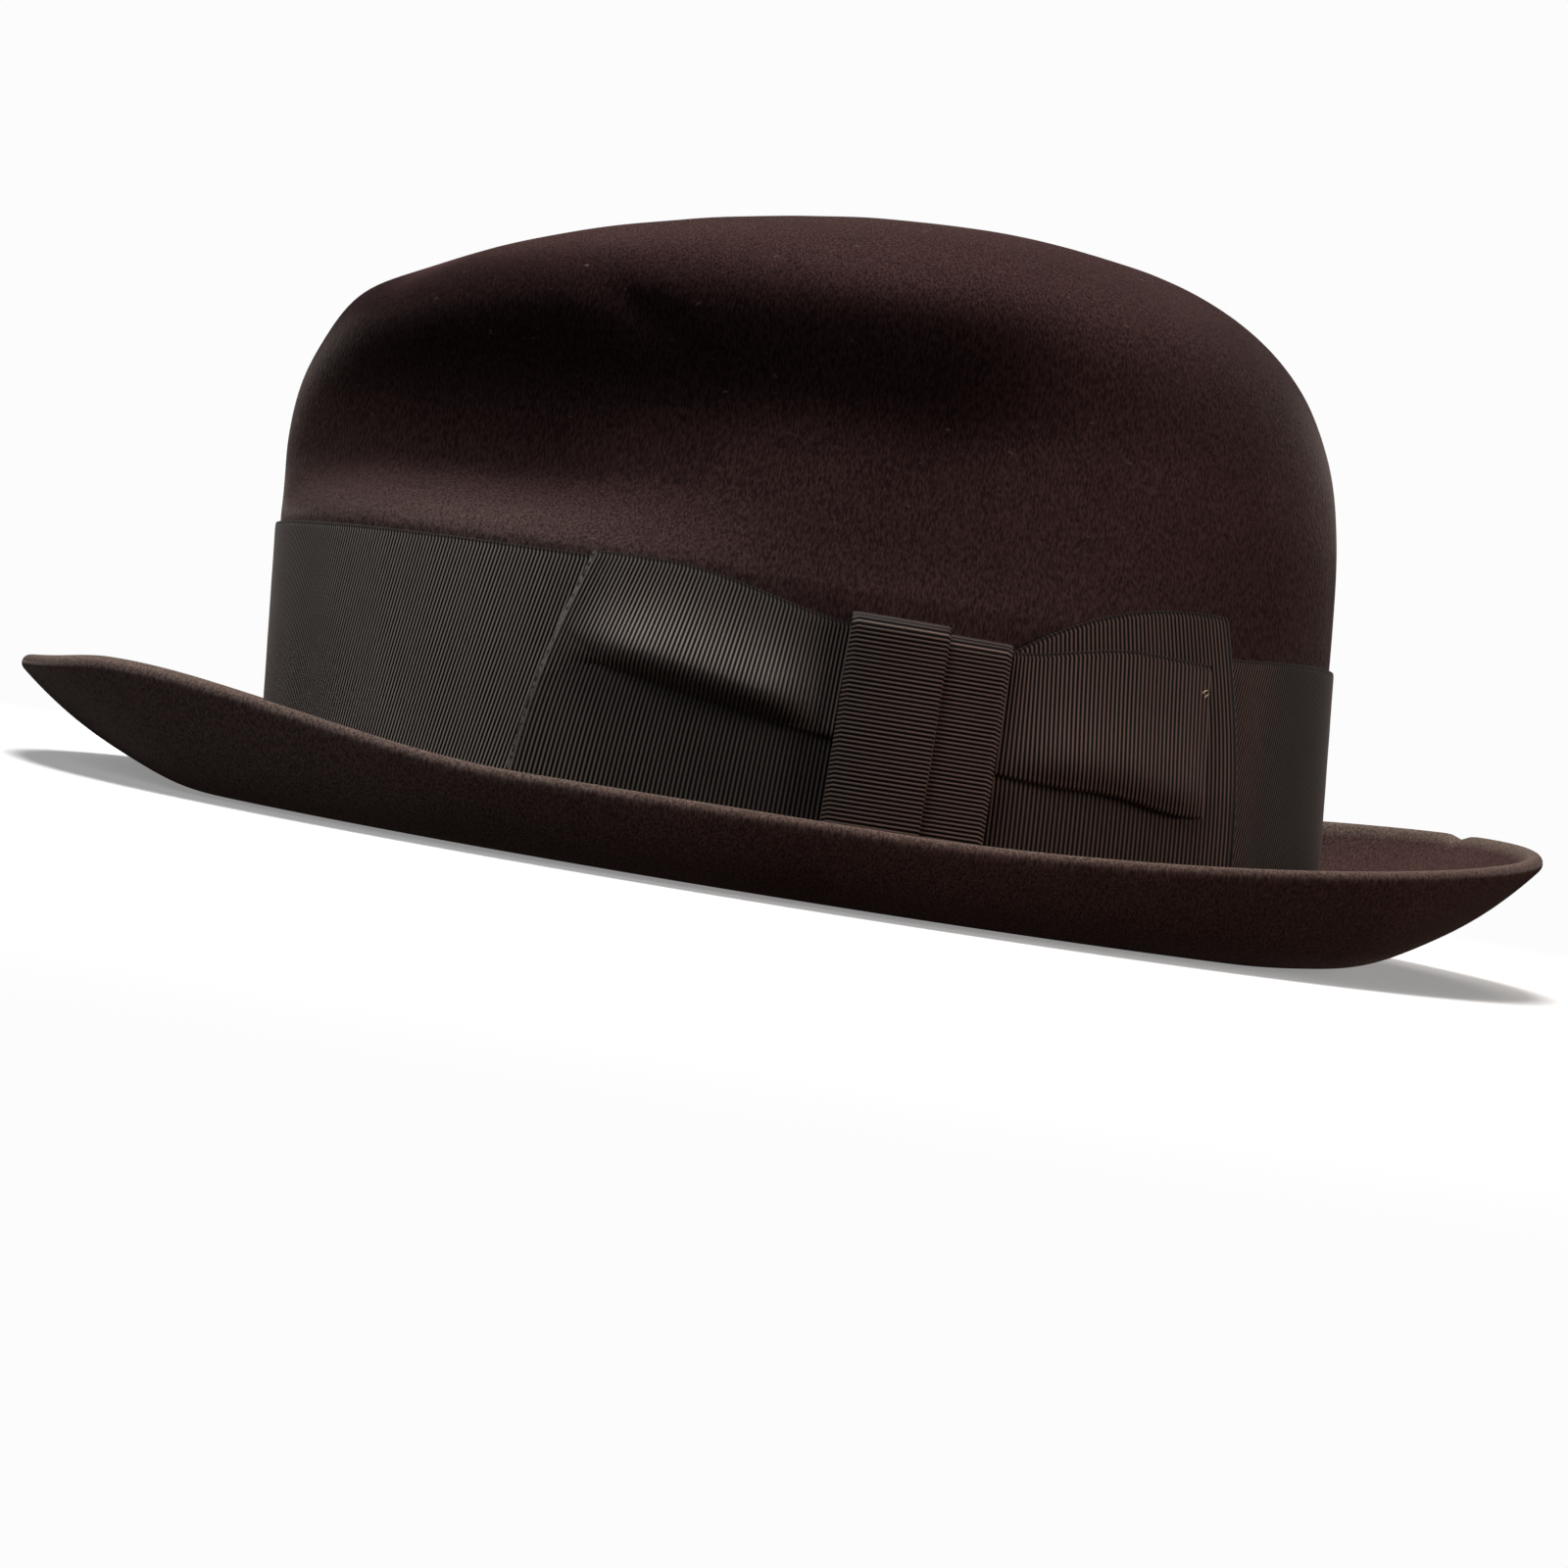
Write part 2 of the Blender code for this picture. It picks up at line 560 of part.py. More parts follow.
def main():
    clear_scene()
    felt = material("felt", (0.040, 0.024, 0.019), 0.95)
    ribbon = material("ribbon", (0.042, 0.034, 0.029), 0.60)
    leather = material("leather", (0.190, 0.080, 0.035), 0.45)
    reed = material("reed", (0.110, 0.060, 0.035), 0.50)
    satin = material("satin", (0.230, 0.150, 0.090), 0.30)
    face, welt = felt_face()
    normal = face_normals(face)
    make_felt(face, welt, normal, felt)
    make_band(ribbon)
    make_front_loop(ribbon)
    make_tail(ribbon)
    make_rear_loop(ribbon)
    make_knot(ribbon)
    make_sweatband(leather, reed)
    make_inner_bow(ribbon)
    make_lining(face, normal, satin)


main()
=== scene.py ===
"""Looks of the felt fedora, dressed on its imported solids.

Metres, +Z up; the front faces -Y and the bow is on the wearer's left at +X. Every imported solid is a
soft piece, so each one is replaced by a finer mesh of the same form: brushed felt with a welted brim,
ribbed ribbon with looped edges, a sewn leather sweatband and a satin lining.
"""
import math

import bmesh
import bpy
import numpy as np
from mathutils import Matrix, Vector, noise


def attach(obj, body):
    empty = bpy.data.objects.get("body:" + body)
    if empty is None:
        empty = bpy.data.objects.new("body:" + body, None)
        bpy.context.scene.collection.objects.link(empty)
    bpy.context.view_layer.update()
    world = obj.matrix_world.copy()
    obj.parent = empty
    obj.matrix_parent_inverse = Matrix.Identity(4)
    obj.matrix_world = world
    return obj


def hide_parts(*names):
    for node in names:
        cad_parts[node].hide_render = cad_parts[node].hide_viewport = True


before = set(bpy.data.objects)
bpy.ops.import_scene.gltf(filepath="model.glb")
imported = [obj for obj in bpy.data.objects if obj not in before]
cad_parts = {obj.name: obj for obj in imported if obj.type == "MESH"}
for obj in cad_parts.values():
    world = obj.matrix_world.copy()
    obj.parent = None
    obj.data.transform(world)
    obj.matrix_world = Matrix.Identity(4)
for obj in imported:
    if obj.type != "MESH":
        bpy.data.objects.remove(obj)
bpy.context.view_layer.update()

# Head opening and sheet materials, as in the solids
HEAD_LENGTH = 0.200
HEAD_WIDTH = 0.165
FELT = 0.0020
RIBBON = 0.0005
LEATHER = 0.0011
SATIN = 0.0006
GAP = 0.0004

# Brim
BRIM_REACH = 0.0429
RIM_SIDE = 0.0136
RIM_FRONT = 0.0203
RIM_REAR = 0.0287
RIM_DIP = 0.0016
RIM_TURN = math.radians(12)
RIM_POWER = 1.6
HOLLOW_REACH = 0.0210
CURL_START = 0.0071
CURL_SIDE = 2.4
CURL_END = 2.1
REST_WIDTH = 0.0080
BREAK_RISE = 0.0022
BREAK_RADIUS = 0.0030
REAR_LIFT = 0.0038
WELT = 0.0012
WELT_WIDTH = 0.0090
WELT_STEP = 0.0008
LIFT_SWEEP = (0.60, 1.00)
ENDS_SWEEP = (0.73, 1.00)
FRONT_SWEEP = (-0.47, -0.90)
DIP_SWEEP = (-0.90, -1.00)
REAR_SWEEP = (-0.05, 1.00)

# Crown
SHOULDER = 0.0525
CROWN_HEIGHT = 0.1252
SHOULDER_POWER = 3.75
SIDE_POWER = 8.0
TIP_POWER = 2.4
CROWN_LEAN = 0.090
TIP_SLOPE = 0.135
CROWN_SET = 0.0040
CREASE_DEPTH = 0.0240
CREASE_FRONT = -0.0880
CREASE_REAR = 0.0620
CREASE_RAMP = 0.0450
CREASE_NARROW = 0.0240
CREASE_WIDE = 0.0420
CROWN_TAPER = 0.20
PINCH = 0.14
PINCH_BACK = 0.35
PINCH_FRONT = -0.0650
PINCH_REAR = 0.0050
PINCH_MID = 0.0680
PINCH_HIGH = 0.1140
PINCH_SWEEP = (0.05, 0.45)
RIDGE = 0.080
RIDGE_FRONT = 0.0250
RIDGE_REAR = 0.1000
RIDGE_LOW = 0.0800
RIDGE_HIGH = 0.1060

# Band and bow
RIBBON_WIDTH = 0.0452
BAND_DIP = 0.0068
DIP_FRONT = -0.0340
DIP_REAR = 0.0600
KNOT_FRONT = 0.0080
KNOT_REAR = 0.0360
KNOT_DROP = 0.0030
KNOT_ROUND = 0.0020
KNOT_PLEAT = 0.0150
KNOT_OVERLAP = 0.0025
UNDER_KNOT = 0.0040
LOOP_FOLD_TOP = -0.0370
LOOP_FOLD_FOOT = -0.0470
LOOP_FOOT = 0.0015
LOOP_TOP_RISE = 0.0008
KNOT_STEP = 0.0012
PLEAT_AT_KNOT = 0.0235
PLEAT_AT_FOLD = 0.0260
PLEAT_OVERLAP = 0.0080
PLEAT_OPEN = 0.0080
PLEAT_STOP = 0.82
PLEAT_PUFF = 0.0064
PUFF_AT = 0.17
TAIL_TOP_RISE = 0.0080
TAIL_CLEAR = 0.35
TAIL_POWER = 2.2
TAIL_END_TOP = 0.0740
TAIL_END_FOOT = 0.0830
ROLL_TOP_DROP = 0.0010
ROLL_END = 0.0740
ROLL_AT_KNOT = 0.0205
ROLL_AT_END = 0.0265
ROLL_TUCK = 0.0110
ROLL_PUFF = 0.0030

# Sweatband and lining
SWEATBAND_WIDTH = 0.0440
SWEATBAND_SLIT = 0.0008
REED_RADIUS = 0.0010
LINING_TUCK = 0.0080
LINING_EASE = 0.0010
PIPING_RADIUS = 0.0009
INNER_BOW_LENGTH = 0.0300
INNER_BOW_WIDTH = 0.0080
INNER_BOW_WAIST = 0.0045
INNER_BOW_RISE = 0.0100
INNER_KNOT_LENGTH = 0.0050
LINING_START = 1 / 14.4
LINING_SEAM = 8 / 14.4
PIPING_SEAM = 7 / 14.4

# Detail that only the looks have: ribs, felt waves, worn places, painted shade, threads and gathers
RIB = 0.00077
RIB_HEIGHT = 0.00022
RIB_STEPS = 6
RIB_POWER = 0.7
RIB_MIDDLE = 0.6
SELVEDGE = 0.0010
SELVEDGE_STEPS = (0, 0.25, 0.5, 0.75, 1.0, 1.4)
SELVEDGE_THIN = 0.35
SCALLOP = 0.00012
FELT_WAVE = 0.00045
FELT_WAVE_SIZE = 0.045
FELT_DIMPLE = 0.00012
FELT_DIMPLE_SIZE = 0.012
WAVE_START = 0.004
WAVE_FULL = 0.018
BUCKLE_AT = (-0.0385, 0.0965)
BUCKLE_SLOPE = math.radians(-32)
BUCKLE_LENGTH = 0.0100
BUCKLE_WIDTH = 0.0040
BUCKLE_DEPTH = 0.0014
CORNER_AT = (-0.0965, 0.1000)
CORNER_WIDTH = 0.0110
CORNER_HEIGHT = 0.0021
NICK_ANGLE = math.radians(104)
NICK_WIDTH = math.radians(1.4)
NICK_DEPTH = 0.0010
TAIL_FOLD = 0.0008
TAIL_HEM = 0.0030
FOLD_BOW = 0.0016
FOLD_WEAR = 0.9
FOLD_PHASE = 0.18
ROLL_WEAR = 0.3
TAIL_BOW = 0.0018
BAND_SKEW = 0.32
ROLL_SKEW = 0.11
UNDER_SHADE = 0.43
END_SHADE = 0.6
END_STEPS = 4
# Where the crown's dents are painted darker: heights, and places along and across the hat
DENT_SHADE_FAINT = 0.4
DENT_SHADE_FOOT = (0.0460, 0.0620)
DENT_SHADE_LOW = (0.0690, 0.0890)
DENT_SHADE_HIGH = (0.1150, 0.1000)
DENT_SHADE_REAR = (0.0600, 0.0150)
DENT_SHADE_SIDE = (0.0450, 0.0300)
DENT_SHADE_FRONT = (-0.0900, -0.0760)
TOOLED_LINES = (0.0030, 0.0055)
TOOLED_DEPTH = 0.00018
TOOLED_WIDTH = 0.0004
TOOLED_ZONE = 0.0080
LEATHER_SKIVE = 0.0009
LEATHER_WAVE = 0.0004
LEATHER_LIMP = 0.0300
STITCH_LENGTH = 0.0022
STITCH_PITCH = 0.0032
STITCH_RISE = 0.0022
THREAD = 0.00022
TACK_LENGTH = 0.0024
TACK_THREAD = THREAD * 0.8
SHEET_LEAST = 0.01
GATHERS = 46
GATHER_DEPTH = 0.00035
SEAM_STEP = 0.02
REED_TWIST = (150, 0.12)
PIPING_TWIST = (180, 0.28)

# Mesh density: rows and columns of each piece
AROUND = 360
BRIM_ROWS = (12, 5, 9, 5, 11)
BREAK_ROWS = 8
WALL_ROWS = 16
DOME_ROWS = 110
DOME_END = 0.996
RIM_ROWS = 10
INSIDE_STEP = 3
BAND_ROWS = 5
BAND_STEPS = 4
PLEAT_ROWS = 40
TAIL_ROWS = 22
ROLL_ROWS = 30
KNOT_ROWS = 24
FOLD_TURNS = 9
SWEATBAND_COLUMNS = 481
SWEATBAND_ROWS = 25
LINING_ROWS = 40
TIP_ROWS = 34
TIP_END = 0.992
CORD_SIDES = 14
REED_COLUMNS = 900
PIPING_COLUMNS = 1080

# Colours, linear, and the scale, detail and relief of fibres
FELT_DARK = (0.0385, 0.0213, 0.0203, 1.0)
FELT_LIGHT = (0.0500, 0.0282, 0.0268, 1.0)
FELT_PALE_LOW = (0.074, 0.059, 0.054, 1.0)
FELT_SHADED = (0.0210, 0.0124, 0.0124, 1.0)
FELT_DENT_SHADE = (0.0125, 0.0068, 0.0070, 1.0)
FELT_RIM_HIGHLIGHT = (0.095, 0.074, 0.062, 1.0)
FELT_HAIR = (0.075, 0.054, 0.047, 1.0)
FELT_BLOOM = (0.80, 0.68, 0.63, 1.0)
NAP_ROOTS = (0.52, 0.50, 0.50, 1.0)
NAP_TIPS = (1.50, 1.46, 1.44, 1.0)
RIBBON_REAR = (0.090, 0.075, 0.069, 1.0)
RIBBON_WARM_LIGHT = (0.170, 0.112, 0.094, 1.0)
RIBBON_GROOVE_SHADE = (0.0031, 0.0024, 0.0021, 1.0)
RIBBON_WORN = (0.190, 0.166, 0.146, 1.0)
RIBBON_EDGE_AND_SHADE = (0.0063, 0.0049, 0.0044, 1.0)
RIBBON_BLOOM = (0.7, 0.62, 0.56, 1.0)
# Ribbon colours where the front of the band and of the bow is painted as lit
BAND_FRONT_LIT = (0.390, 0.345, 0.312, 1.0)
BOW_FRONT_LIT = (0.265, 0.230, 0.205, 1.0)
PATCH_DIM = (0.8, 0.8, 0.8, 1.0)
PATCH_BRIGHT = (1.2, 1.2, 1.2, 1.0)
TACK_COLOURS = (0.30, 0.20, 0.12, 1.0), (0.45, 0.33, 0.22, 1.0)
STITCH_COLOURS = (0.28, 0.17, 0.09, 1.0), (0.40, 0.27, 0.15, 1.0)
LEATHER_COLOURS = (0.135, 0.055, 0.024, 1.0), (0.225, 0.100, 0.045, 1.0)
SATIN_COLOURS = (0.200, 0.128, 0.074, 1.0), (0.262, 0.176, 0.108, 1.0)
SATIN_BLOOM = (0.9, 0.8, 0.65, 1.0)
REED_COLOURS = (0.075, 0.040, 0.024, 1.0), (0.150, 0.085, 0.050, 1.0)
THREAD_FIBRES = 6000.0, 1.0, (0.00005, 0.5)
REED_FIBRES = 1800.0, 2.0, (0.0001, 0.4)
FLOOR_PAPER = (0.54, 0.54, 0.54, 1.0)
FLOOR_DIM = (0.035, 0.026, 0.021, 1.0)
ROOM_WHITE = (0.973, 0.973, 0.973, 1.0)
ROOM_LIGHT = (1.0, 0.98, 0.96, 1.0)

# Where those colours change, in metres along (Y) and above (Z) the hat
PALE_LOW_Z = (0.074, 0.050)
PALE_LOW_Y = (0.005, -0.070)
REAR_Y = (0.030, 0.085)
REAR_Z = (0.080, 0.104)
TOP_Y = (-0.080, -0.035)
TOP_Z = (0.100, 0.117)
FRONT_LIT_Y = (0.020, -0.070)
FRONT_Y = (-0.080, -0.104)
WARM_LIGHT_Y = (-0.005, 0.030)
WARM_LIGHT_END_Y = (0.090, 0.082)

# Room light, and the floor: half its length, its level, its own glow and where it runs out to white
ROOM_LEVEL = 0.045
FLOOR_HALF = 6.0
FLOOR_LEVEL = -0.0003
FLOOR_GLOW = 0.25
FLOOR_FADE = (0.16, 0.42)

# Lamps: place, aim, size, watts and colour
LAMPS = {
    "key": ((0.08, -0.14, 1.12), (0.0, 0.0, 0.06), 0.45, 22.0, (1.0, 0.97, 0.95)),
    "top": ((-0.55, 0.30, 0.95), (0.0, 0.0, 0.06), 0.60, 5.0, (1.0, 0.94, 0.90)),
    "fill": ((0.90, -0.62, 0.68), (0.0, 0.0, 0.04), 0.60, 3.8, (0.95, 0.97, 1.0)),
    "warm": ((0.60, 0.95, 0.35), (0.0, 0.0, 0.04), 0.45, 3.6, (1.0, 0.84, 0.74)),
    "low": ((0.20, 0.0, -0.90), (0.0, 0.0, 0.02), 0.60, 1.2, (1.0, 0.92, 0.84)),
}

# Camera: the photograph's view of the hat's left side, rolled as the hat sat
CAMERA_DISTANCE = 0.60
CAMERA_RISE = math.radians(0.7)
CAMERA_ROLL = math.radians(9.2)
CAMERA_AIM = Vector((0.0, 0.0010, 0.0170))
FRAME_PIXELS = 1600
FOCAL_PIXELS = 3060
SENSOR = 36.0

# Sizes that follow from the ones above
PLY = RIBBON + GAP
FELT_INSIDE = FELT + GAP
LINING_FACE = FELT_INSIDE + LINING_EASE
SWEATBAND_FACE = FELT + GAP + SATIN + 2 * GAP
HALF_LENGTH = HEAD_LENGTH / 2 + LEATHER + SWEATBAND_FACE
HALF_WIDTH = HEAD_WIDTH / 2 + LEATHER + SWEATBAND_FACE
HOLLOW_INNER = HOLLOW_REACH - REST_WIDTH / 2
HOLLOW_OUTER = HOLLOW_REACH + REST_WIDTH / 2
BREAK_TOP = FELT + BREAK_RISE * (1 - BREAK_RADIUS / HOLLOW_INNER) ** 2
BAND_FOOT = BREAK_TOP + BREAK_RADIUS
BAND_TOP = BAND_FOOT + RIBBON_WIDTH
KNOT_TOP = BAND_TOP - KNOT_DROP
BAND_FACE = GAP + RIBBON
BOW_LIFT = BAND_FACE + GAP + RIBBON / 2
LOOP_LIFT = BOW_LIFT + PLY
KNOT_LIFT = LOOP_LIFT + 3 * PLY
SWEATBAND_FOOT = BREAK_TOP + 2 * REED_RADIUS
SWEATBAND_TOP = SWEATBAND_FOOT + SWEATBAND_WIDTH
REAR_ANGLE = math.pi / 2
FULL_TURN = 2 * math.pi


def smooth(start, end, value):
    """0 at start, 1 at end and an easy curve between them; start may be the larger one."""
    share = np.clip((np.asarray(value, dtype=float) - start) / (end - start), 0, 1)
    return share * share * (3 - 2 * share)


def bell(value, width):
    """1 at zero, falling off smoothly over about the given width."""
    return np.exp(-((np.asarray(value, dtype=float) / width) ** 2))


def unit(vectors):
    """The same directions with length 1."""
    return vectors / np.linalg.norm(vectors, axis=-1, keepdims=True)


def running(steps):
    """Running total of the steps, from 0."""
    return np.concatenate(((0,), np.cumsum(steps)))


def around(count):
    """Angles once round, without the last one, which is the first again."""
    return np.linspace(0, FULL_TURN, count, endpoint=False)


def rear_lift(angle):
    """How much the brim, the band and the sweatband rise towards the back."""
    return REAR_LIFT * smooth(*LIFT_SWEEP, np.sin(angle))


def crown_centre(height):
    """Place along the hat of the leaning crown's middle."""
    return CROWN_SET - CROWN_LEAN * height


def wall(angle, height, lift):
    """Point on the crown's straight wall, lift metres outside the felt."""
    angle, height, lift = np.broadcast_arrays(angle, height, lift)
    x = (HALF_WIDTH + lift) * np.cos(angle)
    y = (HALF_LENGTH + lift) * np.sin(angle) + crown_centre(height)
    return np.stack((x, y, height), axis=-1)


def on_side(y, height, lift):
    """Point on the left wall at a place along the hat, lift metres outside the felt."""
    y, height, lift = np.broadcast_arrays(y, height, lift)
    angle = np.arcsin((y - crown_centre(height)) / (HALF_LENGTH + lift))
    return wall(angle, height, lift)


def rim_height(angle):
    """Height of the brim's edge: low at the sides, higher in front, highest at the back, and turned."""
    along = np.sin(angle - RIM_TURN)
    front = (RIM_FRONT - RIM_SIDE) * smooth(*FRONT_SWEEP, along) - RIM_DIP * smooth(*DIP_SWEEP, along)
    rear = (RIM_REAR - RIM_SIDE) * np.interp(along, REAR_SWEEP, (0, 1)) ** RIM_POWER
    return RIM_SIDE + front + rear


def brim_row(angle, reach):
    """Upper face of the brim at one distance from the crown's wall, with a worn nick at the back."""
    base = FELT + rear_lift(angle)
    ends = smooth(*ENDS_SWEEP, np.abs(np.sin(angle)))
    start = HOLLOW_OUTER + (CURL_START - HOLLOW_OUTER) * ends
    curl = np.maximum(reach - start, 0) / (BRIM_REACH - start)
    curl = curl ** (CURL_SIDE + (CURL_END - CURL_SIDE) * ends)
    dish = max(HOLLOW_INNER - reach, 0) / HOLLOW_INNER
    height = base + (rim_height(angle) - WELT - base) * curl + BREAK_RISE * dish ** 2
    height = height - NICK_DEPTH * bell(angle - NICK_ANGLE, NICK_WIDTH) * curl ** 4
    shift = crown_centre(BREAK_TOP) * (1 - reach / BRIM_REACH)
    x = (HALF_WIDTH + reach) * np.cos(angle)
    y = (HALF_LENGTH + reach) * np.sin(angle) + shift
    return np.stack((x, y, height), axis=-1)


def break_row(angle, turn):
    """Fillet between brim and wall; turn runs from 0 on the brim to 90 degrees on the wall."""
    lift = BREAK_RADIUS * (1 - math.sin(turn))
    height = BREAK_TOP + rear_lift(angle) + BREAK_RADIUS * (1 - math.cos(turn))
    return wall(angle, height, lift)


def dome_rows(angle, shares):
    """Rows of the crown above the wall, at shares of the length of the open crown's curve."""
    fine = np.linspace(0, math.pi / 2, 2000)
    radius = np.cos(fine) ** (2 / TIP_POWER)
    rise = np.sin(fine) ** (2 / SHOULDER_POWER)
    steps = np.hypot(np.diff(radius) * HALF_WIDTH, np.diff(rise) * (CROWN_HEIGHT - SHOULDER))
    length = running(steps)
    stops = length[-1] * np.asarray(shares)
    radii = np.interp(stops, length, radius)
    rises = np.interp(stops, length, rise)
    return [dome_row(angle, *pair) for pair in zip(radii, rises)]


def dome_row(angle, radius, rise):
    """Crown above the wall: the open form, tapered at the sides, creased on top and pinched in front."""
    side = (1 - rise ** SIDE_POWER) ** (1 / TIP_POWER)
    y = HALF_LENGTH * radius * np.sin(angle)
    height = SHOULDER + (CROWN_HEIGHT - SHOULDER) * rise
    belt = smooth(SHOULDER, PINCH_MID, height) * smooth(PINCH_HIGH, PINCH_MID, height)
    pinch = PINCH * belt * smooth(PINCH_REAR, PINCH_FRONT, y)
    ridge = RIDGE * smooth(RIDGE_LOW, RIDGE_HIGH, height) * smooth(RIDGE_REAR, RIDGE_FRONT, y)
    x = HALF_WIDTH * side * np.cos(angle) * (1 - CROWN_TAPER * rise - pinch + ridge)
    half = np.interp(y, (CREASE_FRONT, CREASE_REAR), (CREASE_NARROW, CREASE_WIDE))
    along = smooth(CREASE_FRONT, CREASE_FRONT + CREASE_RAMP, y)
    along = along * smooth(CREASE_REAR, CREASE_REAR - CREASE_RAMP, y)
    crease = CREASE_DEPTH * along * (1 - smooth(0, 1, np.abs(x) / half))
    back = PINCH_BACK * pinch * smooth(*PINCH_SWEEP, np.abs(np.cos(angle)))
    z = height + TIP_SLOPE * y * rise - crease
    return np.stack((x, y * (1 - back) + crown_centre(height), z), axis=-1)


def normals(grid, wrap):
    """Unit normals of a grid of points, along the columns crossed with up the rows."""
    up = np.gradient(grid, axis=0)
    if wrap:
        along = np.roll(grid, -1, axis=1) - np.roll(grid, 1, axis=1)
    else:
        along = np.gradient(grid, axis=1)
    normal = np.cross(along, up)
    return normal / np.maximum(np.linalg.norm(normal, axis=-1, keepdims=True), 1e-12)


def wander(points, size):
    """Smooth noise from -1 to 1 at each point, with features of the given size."""
    flat = points.reshape(-1, 3) / size
    values = [noise.noise(Vector(point)) for point in flat]
    return np.array(values).reshape(points.shape[:-1])


def quads(rows, columns, wrap=False, start=0):
    """Faces between the neighbours of a grid that is stored row by row."""
    row = np.arange(rows - 1)[:, None] * columns
    column = np.arange(columns if wrap else columns - 1)[None, :]
    after = (column + 1) % columns
    corners = (row + column, row + after, row + columns + after, row + columns + column)
    return np.stack(np.broadcast_arrays(*corners), axis=-1).reshape(-1, 4) + start


def rim_quads(ring, other):
    """Faces between two lists of vertex numbers of the same length."""
    return np.stack((ring[:-1], ring[1:], other[1:], other[:-1]), axis=-1)


def closed_sheet(front, back, wrap=False):
    """Points and faces of a closed sheet between its front and back grids."""
    rows, columns = front.shape[:2]
    count = rows * columns
    number = np.arange(count).reshape(rows, columns)
    if wrap:
        number = np.concatenate((number, number[:, :1]), axis=1)
    faces = [quads(rows, columns, wrap), quads(rows, columns, wrap, count)]
    faces += [rim_quads(number[row], number[row] + count) for row in (0, -1)]
    if not wrap:
        faces += [rim_quads(number[:, column], number[:, column] + count) for column in (0, -1)]
    points = np.concatenate((front.reshape(-1, 3), back.reshape(-1, 3)))
    return points, np.concatenate(faces).tolist()



def capped(grid):
    """Points and faces of rings that close to a point in the middle of the first and the last one."""
    rows, columns = grid.shape[:2]
    count = rows * columns
    faces = quads(rows, columns, wrap=True).tolist()
    for first, tip in ((0, count), (count - columns, count + 1)):
        faces += [(first + i, first + (i + 1) % columns, tip) for i in range(columns)]
    tips = (grid[0].mean(axis=0), grid[-1].mean(axis=0))
    return np.concatenate((grid.reshape(-1, 3), tips)), faces


def add_piece(name, points, faces, look, slot, node=None, sharp=60, **layers):
    """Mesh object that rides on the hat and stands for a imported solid, with extra vertex layers."""
    mesh = bpy.data.meshes.new(name)
    mesh.from_pydata(np.asarray(points).tolist(), [], faces)
    bm = bmesh.new()
    bm.from_mesh(mesh)
    bmesh.ops.recalc_face_normals(bm, faces=bm.faces[:])
    bm.to_mesh(mesh)
    bm.free()
    for layer, values in layers.items():
        flat = np.asarray(values, dtype=np.float32)
        kind, field = ("FLOAT_VECTOR", "vector") if flat.ndim > 1 else ("FLOAT", "value")
        mesh.attributes.new(layer, kind, "POINT").data.foreach_set(field, flat.ravel())
    mesh.materials.append(look)
    mesh.shade_smooth()
    mesh.set_sharp_from_angle(angle=math.radians(sharp))
    item = bpy.data.objects.new(name, mesh)
    bpy.context.collection.objects.link(item)
    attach(item, "root")
    if node:
        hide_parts(node)
    return item


